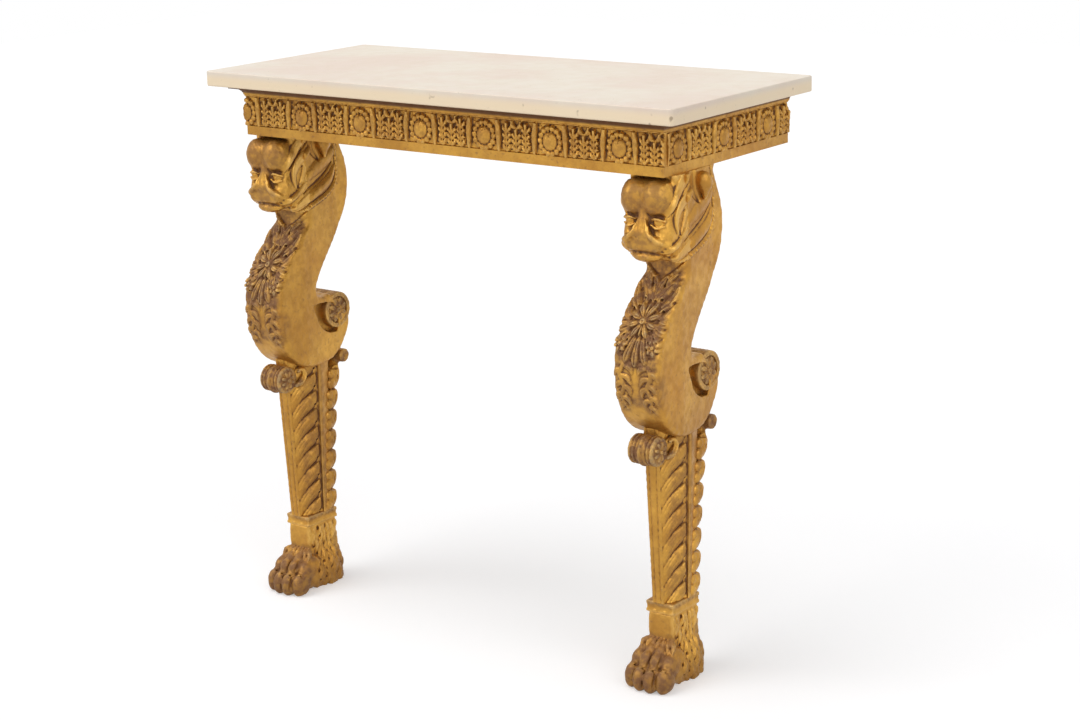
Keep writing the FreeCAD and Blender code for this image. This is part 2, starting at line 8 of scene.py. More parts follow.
import bpy
import numpy as np
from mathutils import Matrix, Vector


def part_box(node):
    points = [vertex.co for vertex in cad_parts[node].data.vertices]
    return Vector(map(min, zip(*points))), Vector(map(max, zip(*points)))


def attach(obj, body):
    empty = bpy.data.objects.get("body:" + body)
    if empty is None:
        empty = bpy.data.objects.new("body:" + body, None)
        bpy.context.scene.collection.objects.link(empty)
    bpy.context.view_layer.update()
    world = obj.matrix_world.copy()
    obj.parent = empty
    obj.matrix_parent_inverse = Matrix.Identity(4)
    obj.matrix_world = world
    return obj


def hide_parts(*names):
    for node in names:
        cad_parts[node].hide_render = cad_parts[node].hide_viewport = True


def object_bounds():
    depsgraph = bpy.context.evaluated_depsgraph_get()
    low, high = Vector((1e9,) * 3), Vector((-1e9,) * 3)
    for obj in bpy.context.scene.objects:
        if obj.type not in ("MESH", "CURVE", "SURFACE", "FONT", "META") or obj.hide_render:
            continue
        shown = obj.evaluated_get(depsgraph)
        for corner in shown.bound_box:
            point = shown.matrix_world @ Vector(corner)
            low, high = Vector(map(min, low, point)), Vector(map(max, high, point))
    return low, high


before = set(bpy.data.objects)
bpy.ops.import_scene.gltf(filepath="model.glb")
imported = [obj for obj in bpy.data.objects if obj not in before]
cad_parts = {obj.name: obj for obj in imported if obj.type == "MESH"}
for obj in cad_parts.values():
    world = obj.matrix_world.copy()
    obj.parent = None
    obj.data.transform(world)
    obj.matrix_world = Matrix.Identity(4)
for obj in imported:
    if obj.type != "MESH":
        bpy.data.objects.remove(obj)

import openvdb
from mathutils import Matrix, Vector

LOG = logging.getLogger("pier_table")
MM = 0.001
CAD_BOX = [list(corner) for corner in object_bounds()]
SLAB_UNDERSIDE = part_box("marble_top")[0][2]
# Millimetres: the distance that stands for empty clay, the two reaches over which hollows and
# ridges are looked for, and the soft edge of a rubbed place. The gain is how fast marks deepen.
FAR = 60.0
NEAR_REACH = 3.0
WIDE_REACH = 8.0
RUB_EDGE = 5.0
MARK_GAIN = 3.0
Point = tuple[float, float, float]
Flat = tuple[float, float]
Colour = tuple[float, float, float, float]
Distance = Callable[[np.ndarray, np.ndarray, np.ndarray], np.ndarray]


class Side(Enum):
    """The two legs, each with its sign along X."""

    LEFT = -1
    RIGHT = 1

    @property
    def word(self) -> str:
        """The word that the leg's nodes begin with."""
        return self.name.lower()


class Mark(Enum):
    """Point attributes that a carved mesh carries for its finish."""

    RIDGE = "ridge"
    HOLLOW = "hollow"
    RUBBED = "rubbed"


# ---- Carving: a field of distances on a grid, worked like clay and then skinned ---------------
def blend_min(first: np.ndarray, second: np.ndarray, width: float) -> np.ndarray:
    """Join two distance fields with a fillet.

    Args:
        first: One field, negative inside.
        second: The other field.
        width: Width of the fillet in millimetres; 0 leaves a sharp joint.

    Returns:
        The joined field.
    """
    if width <= 0:
        return np.minimum(first, second)
    near = np.maximum(width - np.abs(first - second), 0) / width
    return np.minimum(first, second) - near * near * width / 4


def ease(value: np.ndarray, low: float, high: float) -> np.ndarray:
    """Rise smoothly from 0 at low to 1 at high.

    Args:
        value: The values to map.
        low: Where the rise starts.
        high: Where it ends.

    Returns:
        The shares between 0 and 1.
    """
    share = np.clip((value - low) / (high - low), 0, 1)
    return share * share * (3 - 2 * share)


def curve_through(points: Sequence[Sequence[float]], parts: int, closed: bool = False) -> np.ndarray:
    """Run a Catmull-Rom curve through points.

    Args:
        points: The points to pass through.
        parts: Steps between neighbouring points.
        closed: Whether the last point runs on to the first.

    Returns:
        The curve's points, one row each.
    """
    knots = np.array(points, float)
    count = len(knots)
    rows = []
    for i in range(count if closed else count - 1):
        picks = [(i + k) % count if closed else min(max(i + k, 0), count - 1) for k in (-1, 0, 1, 2)]
        a, b, c, d = (knots[k] for k in picks)
        for step in range(parts):
            t = step / parts
            rows.append(b + 0.5 * t * (c - a + t * (2 * a - 5 * b + 4 * c - d + t * (3 * (b - c) + d - a))))
    if not closed:
        rows.append(knots[-1])
    return np.array(rows)


def outline_distance(outline: np.ndarray, u: np.ndarray, v: np.ndarray) -> np.ndarray:
    """Measure the distance in a plane from a closed outline.

    Args:
        outline: Its corners, one row each.
        u: Places along the first axis.
        v: Places along the second.

    Returns:
        The distances, negative inside.
    """
    nearest = np.full(np.broadcast(u, v).shape, 1e9)
    inside = np.zeros(nearest.shape, bool)
    for (au, av), (bu, bv) in zip(outline, np.roll(outline, -1, axis=0)):
        du, dv = bu - au, bv - av
        along = np.clip(((u - au) * du + (v - av) * dv) / max(du * du + dv * dv, 1e-9), 0, 1)
        nearest = np.minimum(nearest, (u - au - along * du) ** 2 + (v - av - along * dv) ** 2)
        if dv != 0:
            crosses = (av > v) != (bv > v)
            inside ^= crosses & (u < au + du * (v - av) / dv)
    return np.where(inside, -1, 1) * np.sqrt(nearest)


@dataclass(frozen=True)
class Lump:
    """A form to add or take away: its distance function, and the corners that it lies between."""

    distance: Distance
    low: Point
    high: Point

    def both_sides(self) -> list["Lump"]:
        """Give this lump and its twin across the middle plane.

        Returns:
            Both lumps.
        """
        low, high = (-self.high[0], *self.low[1:]), (-self.low[0], *self.high[1:])
        return [self, Lump(lambda x, y, z: self.distance(-x, y, z), low, high)]


def ball(centre: Point, radii: Point | float, turn: Point = (0, 0, 0)) -> Lump:
    """Make an egg-shaped lump.

    Args:
        centre: Its middle.
        radii: Half sizes along its own axes, or one radius.
        turn: Degrees that it is turned about X, Y and Z.

    Returns:
        The lump.
    """
    size = np.array([radii] * 3 if isinstance(radii, (int, float)) else radii, np.float32)
    spin = Matrix.Rotation(radians(turn[2]), 3, "Z") @ Matrix.Rotation(radians(turn[1]), 3, "Y")
    spin = np.array((spin @ Matrix.Rotation(radians(turn[0]), 3, "X")).transposed(), np.float32)

    def distance(x: np.ndarray, y: np.ndarray, z: np.ndarray) -> np.ndarray:
        """Distance from the egg's surface, close to true near it."""
        offset = (x - centre[0], y - centre[1], z - centre[2])
        own = [row[0] * offset[0] + row[1] * offset[1] + row[2] * offset[2] for row in spin]
        near = np.sqrt(sum((p / r) ** 2 for p, r in zip(own, size)))
        steep = np.sqrt(sum((p / (r * r)) ** 2 for p, r in zip(own, size)))
        return near * (near - 1) / np.maximum(steep, 1e-6)

    reach = np.sqrt(((spin.T * size) ** 2).sum(axis=1))
    low = tuple(float(c - r) for c, r in zip(centre, reach))
    return Lump(distance, low, tuple(float(c + r) for c, r in zip(centre, reach)))


def limb(start: Point, end: Point, start_r: float, end_r: float) -> Lump:
    """Make a round bar between two points.

    Args:
        start: One end.
        end: The other end.
        start_r: Radius at the start.
        end_r: Radius at the end.

    Returns:
        The lump.
    """
    a, b = np.array(start, np.float32), np.array(end, np.float32)
    run = b - a
    square = max(float(run @ run), 1e-6)

    def distance(x: np.ndarray, y: np.ndarray, z: np.ndarray) -> np.ndarray:
        """Distance from the bar's surface."""
        px, py, pz = x - a[0], y - a[1], z - a[2]
        share = np.clip((px * run[0] + py * run[1] + pz * run[2]) / square, 0, 1)
        far = (px - share * run[0]) ** 2 + (py - share * run[1]) ** 2 + (pz - share * run[2]) ** 2
        return np.sqrt(far) - (start_r + (end_r - start_r) * share)

    most = max(start_r, end_r)
    low = tuple(float(v) for v in np.minimum(a, b) - most)
    return Lump(distance, low, tuple(float(v) for v in np.maximum(a, b) + most))


def slab(low: Point, high: Point, edge_r: float = 0.0) -> Lump:
    """Make a block between two corners.

    Args:
        low: Lowest corner.
        high: Highest corner.
        edge_r: Radius of its rounded edges.

    Returns:
        The lump.
    """
    middle = [(a + b) / 2 for a, b in zip(low, high)]
    half = [(b - a) / 2 - edge_r for a, b in zip(low, high)]

    def distance(x: np.ndarray, y: np.ndarray, z: np.ndarray) -> np.ndarray:
        """Distance from the block's surface."""
        past = [np.abs(p - m) - h for p, m, h in zip((x, y, z), middle, half)]
        outer = np.sqrt(sum(np.maximum(v, 0) ** 2 for v in past))
        return outer + np.minimum(np.maximum(np.maximum(past[0], past[1]), past[2]), 0) - edge_r

    return Lump(distance, low, high)


def roll(radius: float, half_l: float, y: float, z: float, edge_r: float = 1.0) -> Lump:
    """Make a cylinder along X about the middle plane.

    Args:
        radius: Its radius.
        half_l: Half its length.
        y: Its axis, back.
        z: Its axis, up.
        edge_r: Radius of its rounded rims.

    Returns:
        The lump.
    """

    def distance(x: np.ndarray, y_at: np.ndarray, z_at: np.ndarray) -> np.ndarray:
        """Distance from the cylinder's surface."""
        across = np.sqrt((y_at - y) ** 2 + (z_at - z) ** 2) - radius + edge_r
        along = np.abs(x) - half_l + edge_r
        outer = np.sqrt(np.maximum(across, 0) ** 2 + np.maximum(along, 0) ** 2)
        return outer + np.minimum(np.maximum(across, along), 0) - edge_r

    return Lump(distance, (-half_l, y - radius, z - radius), (half_l, y + radius, z + radius))


class Clay:
    """A block of clay on a regular grid: distances in millimetres, negative inside."""

    def __init__(self, low: Point, high: Point, step: float) -> None:
        """Lay out an empty block.

        Args:
            low: Lowest corner.
            high: Highest corner.
            step: Grid step.
        """
        self.step = step
        self.axes = [np.arange(a, b + step, step, dtype=np.float32) for a, b in zip(low, high)]
        self.field = np.full([len(axis) for axis in self.axes], FAR, np.float32)
        self.rubs: list[tuple[Lump, float]] = []

    def grid(self) -> tuple[np.ndarray, np.ndarray, np.ndarray]:
        """Coordinates of the whole block, shaped to broadcast."""
        return np.ix_(*self.axes)

    def patch(self, low: Sequence[float], high: Sequence[float],
              fillet: float) -> tuple[tuple[slice, ...], list[np.ndarray]]:
        """Find the part of the grid that a form and its fillet lie in.

        Args:
            low: The form's lowest corner.
            high: Its highest corner.
            fillet: Width of its fillet.

        Returns:
            The slices of the grid, and its coordinates there.
        """
        margin = fillet + 3 * self.step
        cuts = []
        for axis, a, b in zip(self.axes, low, high):
            first = max(int((a - margin - axis[0]) / self.step), 0)
            last = min(max(int((b + margin - axis[0]) / self.step) + 2, 0), len(axis))
            cuts.append(slice(min(first, last), last))
        return tuple(cuts), list(np.ix_(*(axis[cut] for axis, cut in zip(self.axes, cuts))))

    def add(self, lumps: Lump | list[Lump], fillet: float = 0.0) -> None:
        """Join lumps on.

        Args:
            lumps: One lump or several.
            fillet: Width of the fillet where each meets the clay.
        """
        for lump in lumps if isinstance(lumps, list) else [lumps]:
            cut, where = self.patch(lump.low, lump.high, fillet)
            if self.field[cut].size:
                self.field[cut] = blend_min(self.field[cut], lump.distance(*where), fillet)

    def take(self, lumps: Lump | list[Lump], fillet: float = 0.0) -> None:
        """Carve lumps away.

        Args:
            lumps: One lump or several.
            fillet: Width of the rounded rim of each.
        """
        for lump in lumps if isinstance(lumps, list) else [lumps]:
            cut, where = self.patch(lump.low, lump.high, fillet)
            if self.field[cut].size:
                self.field[cut] = -blend_min(-self.field[cut], lump.distance(*where), fillet)

    def strand(self, points: Sequence[Point], radii: Sequence[float], fillet: float = 0.0,
               carve: bool = False, parts: int = 4) -> None:
        """Lay a tapering strand along a curve, or plough it out.

        Args:
            points: Points that the strand runs through.
            radii: Its radius at each point.
            fillet: Fillet where it meets the clay.
            carve: Whether it is ploughed out rather than laid on.
            parts: Straight parts between neighbouring points.
        """
        rows = curve_through([(*p, r) for p, r in zip(points, radii)], parts)
        most = float(rows[:, 3].max())
        cut, _ = self.patch(rows[:, :3].min(axis=0) - most, rows[:, :3].max(axis=0) + most, fillet)
        if not self.field[cut].size:
            return
        own = np.full(self.field[cut].shape, FAR, np.float32)
        for a, b in zip(rows, rows[1:]):
            part = limb(a[:3], b[:3], a[3], b[3])
            inner, where = self.patch(part.low, part.high, fillet)
            local = tuple(slice(i.start - c.start, i.stop - c.start) for i, c in zip(inner, cut))
            if own[local].size:
                own[local] = np.minimum(own[local], part.distance(*where))
        if carve:
            self.field[cut] = -blend_min(-self.field[cut], own, fillet)
        else:
            self.field[cut] = blend_min(self.field[cut], own, fillet)

    def swell(self, height: np.ndarray) -> None:
        """Raise the surface by a height given over the whole block."""
        self.field -= height.astype(np.float32)

    def roughen(self, height: float, pitch: float) -> None:
        """Give the surface the slight unevenness of hand work.

        Args:
            height: Height of the waves.
            pitch: Their rough length.
        """
        x, y, z = (axis * (2 * pi / pitch) for axis in self.grid())
        flat_wave = np.sin(x + 0.7 * np.sin(y * 0.9)) * np.sin(y * 1.3 + 1.1)
        self.field += height * (flat_wave * np.sin(z * 0.8 + x * 0.3))

    def trim(self, high: float, low: float = -FAR) -> None:
        """Cut the clay off level above one height and below another."""
        z = self.axes[2]
        self.field = np.maximum(np.maximum(self.field, low - z), z - high)

    def rub(self, lumps: Lump | list[Lump], strength: float) -> None:
        """Mark where the gilding is rubbed through."""
        for lump in lumps if isinstance(lumps, list) else [lumps]:
            self.rubs.append((lump, strength))

    def blurred(self, reach: float) -> np.ndarray:
        """Smooth the field, so that hollows and ridges show against it.

        Args:
            reach: How far to smooth over.

        Returns:
            The smoothed field.
        """
        smooth = np.clip(self.field, -2 * reach, 2 * reach)
        half = max(int(round(reach / self.step / 2)), 1)
        window = 2 * half + 1
        for axis in range(3):
            count = smooth.shape[axis]
            padded = np.clip(np.arange(-half - 1, count + half), 0, count - 1)
            for _ in range(2):
                total = np.cumsum(np.take(smooth, padded, axis=axis), axis=axis)
                ahead = np.take(total, np.arange(window, window + count), axis=axis)
                smooth = (ahead - np.take(total, np.arange(count), axis=axis)) / window
        return smooth

    def sample(self, values: np.ndarray, points: np.ndarray) -> np.ndarray:
        """Read a field between its grid steps.

        Args:
            values: The field.
            points: Places from the block's lowest corner, one row each.

        Returns:
            The values there.
        """
        spot = np.clip(points / self.step, 0, np.array(values.shape) - 1.001)
        base = spot.astype(int)
        part = spot - base
        total = np.zeros(len(points))
        for corner in np.ndindex(2, 2, 2):
            weight = np.prod(np.where(corner, part, 1 - part), axis=1)
            total += weight * values[tuple((base + corner).T)]
        return total

    def skin(self, name: str, coarse: float = 0.0) -> bpy.types.Mesh:
        """Turn the clay into a mesh in metres, in the clay's own axes.

        Args:
            name: Name of the mesh.
            coarse: How far flat stretches may be meshed more coarsely, from 0 to 1.

        Returns:
            The mesh, with its marks.
        """
        grid = openvdb.FloatGrid(FAR)
        grid.copyFromArray(self.field)
        grid.transform = openvdb.createLinearTransform(voxelSize=self.step)
        points, triangles, quads = grid.convertToPolygons(isovalue=0.0, adaptivity=coarse)
        corner = np.array([axis[0] for axis in self.axes])
        mesh = mesh_from(name, (points + corner) * MM, triangles[:, ::-1], quads[:, ::-1])
        bend = 0.6 * self.sample(self.blurred(NEAR_REACH), points) / NEAR_REACH
        bend += 0.4 * self.sample(self.blurred(WIDE_REACH), points) / WIDE_REACH
        add_mark(mesh, Mark.RIDGE, np.clip(bend * MARK_GAIN, 0, 1))
        add_mark(mesh, Mark.HOLLOW, np.clip(-bend * MARK_GAIN, 0, 1))
        rubbed = np.zeros(len(points))
        x, y, z = (points + corner).T
        for lump, strength in self.rubs:
            rubbed = np.maximum(rubbed, strength * ease(-lump.distance(x, y, z), -RUB_EDGE, RUB_EDGE))
        add_mark(mesh, Mark.RUBBED, rubbed)
        return mesh


def mesh_from(name: str, points: np.ndarray, *faces: np.ndarray) -> bpy.types.Mesh:
    """Make a smooth-shaded mesh.

    Args:
        name: Its name.
        points: Its points, one row each.
        faces: Arrays of corner numbers, one row for each face.

    Returns:
        The mesh.
    """
    mesh = bpy.data.meshes.new(name)
    mesh.vertices.add(len(points))
    mesh.vertices.foreach_set("co", np.asarray(points, np.float32).ravel())
    sizes = np.concatenate([np.full(len(group), group.shape[1]) for group in faces])
    corners = np.concatenate([group.ravel() for group in faces])
    mesh.loops.add(len(corners))
    mesh.loops.foreach_set("vertex_index", corners.astype(np.int32))
    mesh.polygons.add(len(sizes))
    mesh.polygons.foreach_set("loop_start", (np.cumsum(sizes) - sizes).astype(np.int32))
    mesh.update(calc_edges=True)
    mesh.validate()
    mesh.shade_smooth()
    return mesh


def add_mark(mesh: bpy.types.Mesh, mark: Mark, values: np.ndarray) -> None:
    """Store a value per point for the finish to read."""
    mesh.attributes.new(mark.value, "FLOAT", "POINT").data.foreach_set("value", values.astype(np.float32))


def place_piece(name: str, mesh: bpy.types.Mesh, node: str, material: bpy.types.Material,
                place: Point = (0, 0, 0)) -> None:
    """Show a mesh in place of a node of the construction.

    Args:
        name: Name of the piece.
        mesh: Its mesh.
        node: The node that it stands for.
        material: Its finish.
        place: Where the mesh's origin goes, in metres.
    """
    if not mesh.materials:
        mesh.materials.append(material)
    piece = bpy.data.objects.new(name, mesh)
    piece.location = place
    bpy.context.scene.collection.objects.link(piece)
    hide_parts(node)
    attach(piece, "root")
    LOG.info("%s stands for %s, %d faces", name, node, len(mesh.polygons))


# ---- Relief: heights over one face, for the clay to be raised and drilled by ------------------
def from_middle(middle: Flat, far: float, angle: float) -> Flat:
    """The place at a distance and an angle in radians from a middle."""
    return middle[0] + far * cos(angle), middle[1] + far * sin(angle)


class Relief:
    """Heights over a flat or unrolled face in millimetres, built of locks, petals and holes."""

    def __init__(self, u: np.ndarray, v: np.ndarray, ground: float = 0.0) -> None:
        """Lay out a level relief over two axes.

        Args:
            u: Places along the first axis.
            v: Places along the second.
            ground: Level that locks and buttons spring from.
        """
        self.u, self.v = np.meshgrid(u, v, indexing="ij")
        self.ground = ground
        self.height = np.full(self.u.shape, ground, np.float32)

    def along(self, points: Sequence[Flat], widths: Sequence[float]) -> tuple[np.ndarray, np.ndarray]:
        """Measure every place against a tapering curve.

        Args:
            points: Points that the curve runs through.
            widths: Half the width of its band at each point.

        Returns:
            Nearness, from 0 at the band's edge to 1 on the curve, and how full the band is there.
        """
        rows = curve_through([(*p, w) for p, w in zip(points, widths)], 5)
        near = np.zeros(self.u.shape, np.float32)
        full = np.zeros(self.u.shape, np.float32)
        for a, b in zip(rows, rows[1:]):
            run = b - a
            share = (self.u - a[0]) * run[0] + (self.v - a[1]) * run[1]
            share = np.clip(share / max(run[0] ** 2 + run[1] ** 2, 1e-6), 0, 1)
            far = np.hypot(self.u - a[0] - share * run[0], self.v - a[1] - share * run[1])
            width = np.maximum(a[2] + run[2] * share, 0.05)
            here = 1 - far / width
            full = np.where(here > near, width, full)
            near = np.maximum(near, here)
        return near, full / max(widths)

    def lock(self, points: Sequence[Flat], widths: Sequence[float], height: float,
             crease: float = 0.0) -> None:
        """Raise a tapering lock, round across.

        Args:
            points: Points that it runs through.
            widths: Half its width at each point.
            height: How far it stands up.
            crease: Depth of the crease along its middle.
        """
        near, full = self.along(points, widths)
        shape = self.ground + (height - self.ground) * np.sqrt(full * near * (2 - near))
        shape -= crease * ease(near, 0.7, 1.0)
        self.height = np.where(near > 0, np.maximum(self.height, shape), self.height)

    def leaf(self, foot: Flat, length: float, reach: float, lobes: int, height: float) -> None:
        """Raise an upright leaf: a rib with pairs of lobes, and a drilled eye under each lobe.

        Args:
            foot: Where it springs from.
            length: How far up it goes.
            reach: How far its lobes stand out.
            lobes: How many pairs it has.
            height: How far its rib stands up.
        """
        u, v = foot
        for k in range(lobes):
            low = v + length * k / (lobes + 0.6)
            for side in (-1, 1):
                ends = [(u, low), (u + side * 0.7 * reach, low + 4.5), (u + side * reach, low + 9.5)]
                self.lock(ends, [2.0, 3.6, 2.0], 0.82 * height)
                self.hole((u + side * (reach - 0.4), low + 2.2), 1.7, 2.6)
        self.lock([(u, v), (u, v + 0.6 * length), (u, v + length)], [1.6, 2.0, 2.8], height)

    def groove(self, points: Sequence[Flat], widths: Sequence[float], depth: float) -> None:
        """Cut a tapering groove.

        Args:
            points: Points that it runs through.
            widths: Half its width at each point.
            depth: How deep it goes.
        """
        near, full = self.along(points, widths)
        self.height -= depth * np.sqrt(full) * ease(near, 0.0, 0.9)

    def button(self, place: Flat, radius: float, height: float) -> None:
        """Raise a round button.

        Args:
            place: Its middle.
            radius: Its radius.
            height: How far it stands up.
        """
        share = np.hypot(self.u - place[0], self.v - place[1]) / radius
        rise = (height - self.ground) * np.sqrt(np.maximum(1 - share ** 2, 0))
        self.height = np.maximum(self.height, self.ground + rise)

    def wrapped(self, along: np.ndarray, first: float) -> np.ndarray:
        """Read the relief over a block whose third axis is the relief's second.

        Args:
            along: Place along the first axis, over the whole block.
            first: Where the relief's first axis begins.

        Returns:
            The height over the whole block.
        """
        step = self.u[1, 0] - self.u[0, 0]
        spot = np.clip((along - first) / step, 0, self.height.shape[0] - 1.001)
        base = spot.astype(int)
        rows = np.broadcast_to(np.arange(self.height.shape[1]), base.shape)
        part = spot - base
        return self.height[base, rows] * (1 - part) + self.height[base + 1, rows] * part

    def hole(self, place: Flat, radius: float, depth: float) -> None:
        """Drill a round hole.

        Args:
            place: Its middle.
            radius: Its radius.
            depth: How deep it goes.
        """
        share = np.hypot(self.u - place[0], self.v - place[1]) / radius
        self.height -= depth * ease(1 - share, 0.0, 0.6)

    def flower(self, place: Flat, radius: float, petals: int, height: float, heart: float) -> None:
        """Raise a flower of creased petals around a drilled heart.

        Args:
            place: Its middle.
            radius: Reach of its petals.
            petals: How many petals it has.
            height: How far it stands up.
            heart: Radius of its heart.
        """
        belly = 0.68 * radius
        width = 0.9 * pi * belly / petals
        for k in range(petals):
            angle = 2 * pi * (k + 0.5) / petals
            ways = [from_middle(place, far, angle) for far in (heart, belly, radius)]
            self.lock(ways, [0.5 * width, width, 0.45 * width], height, 0.25 * height)
            self.hole(from_middle(place, radius * 0.95, angle + pi / petals), 0.16 * radius, 3.0)
        self.button(place, heart, height * 1.15)
        self.hole(place, heart * 0.45, 2.5)


# ---- One leg, about its own middle plane: x across, y back, z up from the floor, millimetres ----
@dataclass
class Paw:
    """Lion's paw with four knuckled toes, smooth in front and furred behind."""

    height: float = 106.0
    sole: float = 0.2
    toe_pitch: float = 17.6
    toe_reach: float = 59.0
    heel_back: float = 80.0
    ankle_half_w: float = 21.0
    ankle_front: float = 5.0
    ankle_back: float = 61.0
    step: float = 1.1

    def toe(self, clay: Clay, aside: float) -> None:
        """Model one toe: pad, knuckle and a short claw.

        Args:
            clay: Clay to work in.
            aside: How many toes it stands from the middle.
        """
        x = aside * self.toe_pitch
        front = 3.0 * aside ** 2 - self.toe_reach
        clay.add(ball((x, front + 18, 18), (12.4, 18, 19)), 2.5)
        clay.add(ball((x * 0.97, front + 34, 38 - 1.5 * abs(aside)), (11.8, 17, 16.5), (-20, 0, 0)), 3.0)
        clay.add(ball((x * 0.90, front + 47, 49 - 2.0 * abs(aside)), (10.5, 15, 12.5), (-35, 0, 0)), 4.0)
        crease = [(x - 9, front + 17, 34), (x, front + 12, 32), (x + 9, front + 17, 34)]
        clay.strand(crease, [0.9, 1.6, 0.9], 3.0, carve=True)
        clay.take(ball((x, front + 1.5, 11), (4.5, 2.2, 1.6)), 1.5)
        claw = [(x, front + 10.0, 12), (x, front + 8.5, 8), (x, front + 10.0, 5.5)]
        clay.strand(claw, [6.5, 6.2, 5.4], 5.0)

    def fur(self, clay: Clay) -> None:
        """Cover the sides and the heel with rows of wavy pointed locks.

        Args:
            clay: Clay to work in.
        """
        spread, first = 34.0, -40.0
        relief = Relief(np.arange(first, 56.0, 0.9), clay.axes[2], -2.6)
        for row in range(8):
            z = 13.5 * row
            for k in range(12):
                u = first + 8.6 * (k + 0.5 * (row % 2))
                wave = 2.6 * sin(1.9 * k + 2.3 * row)
                tuft = [(u - wave, z + 14), (u + wave, z + 6), (u + 0.4 * wave, z - 3),
                        (u - 1.6 * wave, z - 12)]
                relief.lock(tuft, [1.6, 4.6, 4.2, 0.7], 2.4 + 0.4 * wave)
                relief.groove([(u + wave, z + 8), (u - wave, z - 6)], [1.2, 0.7], 1.3)
        x, y, z = clay.grid()
        around = np.broadcast_to(np.arctan2(y - 33.0, np.abs(x)) * spread, clay.field.shape)
        below = 1 - ease(z, self.height - 7, self.height - 3)
        cover = ease(y, -8, 2) * below * ease(np.abs(x) + 40 * ease(y, 30, 50), 10, 18)
        clay.swell(relief.wrapped(around, first) * cover)

    def clay(self) -> Clay:
        """Model the whole paw.

        Returns:
            The clay.
        """
        clay = Clay((-48, -68, -6), (48, 90, self.height + 4), self.step)
        clay.add(slab((-self.ankle_half_w, -self.ankle_front, 20),
                      (self.ankle_half_w, self.ankle_back, self.height + 4), 3.0))
        clay.add(ball((0, 37, 24), (34.5, self.heel_back - 38, 50)), 6.0)
        clay.add(ball((0, 37, 8), (34, self.heel_back - 39, 34)), 4.0)
        clay.add(ball((0, 0, 22), (35, 40, 27)), 6.0)
        for aside in (-1.5, -0.5, 0.5, 1.5):
            self.toe(clay, aside)
        for aside in (-1.0, 0.0, 1.0):
            x = aside * self.toe_pitch
            parting = [(x, -55, 0), (x, -50, 22), (x * 0.95, -33, 44), (x * 0.9, -16, 58)]
            clay.strand(parting, [1.4, 1.8, 1.6, 0.8], 2.5, carve=True)
        for x in range(-27, 28, 9):
            tuft = [(x * 0.7, -5, 66), (x * 0.95, -11, 61), (x + 2, -19, 53)]
            clay.strand(tuft, [2.6, 4.2, 1.2], 0.8, parts=2)
        self.fur(clay)
        clay.roughen(0.35, 13.0)
        clay.trim(self.height, self.sole)
        clay.rub(ball((0, -40, 30), (50, 36, 36)), 0.9)
        clay.rub(slab((-36, -30, 50), (36, -2, 72), 4.0), 0.7)
        clay.rub(ball((0, 70, 40), (50, 30, 50)), 0.55)
        return clay


@dataclass
class Collar:
    """Square band above the ankle, between two flat beads."""

    low: float = Paw.height
    high: float = 123.0
    half_w: float = 21.0
    front: float = 5.0
    back: float = 60.0
    out: float = 2.5
    step: float = 1.0

    def clay(self) -> Clay:
        """Model the band.

        Returns:
            The clay.
        """
        clay = Clay((-30, -14, self.low - 4), (30, 70, self.high + 4), self.step)
        bead = (self.high - self.low) / 4

        def ring(z_low: float, z_high: float, out: float, edge: float) -> Lump:
            """A square course between two heights that stands out by a measure."""
            corner = (-self.half_w - out, -self.front - out, z_low)
            return slab(corner, (self.half_w + out, self.back + out, z_high), edge)

        clay.add(ring(self.low, self.high, self.out * 0.6, 1.0))
        clay.add(ring(self.low, self.low + bead * 1.2, self.out, 1.4), 1.0)
        clay.add(ring(self.high - bead * 1.4, self.high, self.out, 1.6), 1.0)
        clay.roughen(0.4, 11.0)
        clay.rub(slab((-40, -20, self.high - 6), (40, 80, self.high + 3)), 0.8)
        return clay


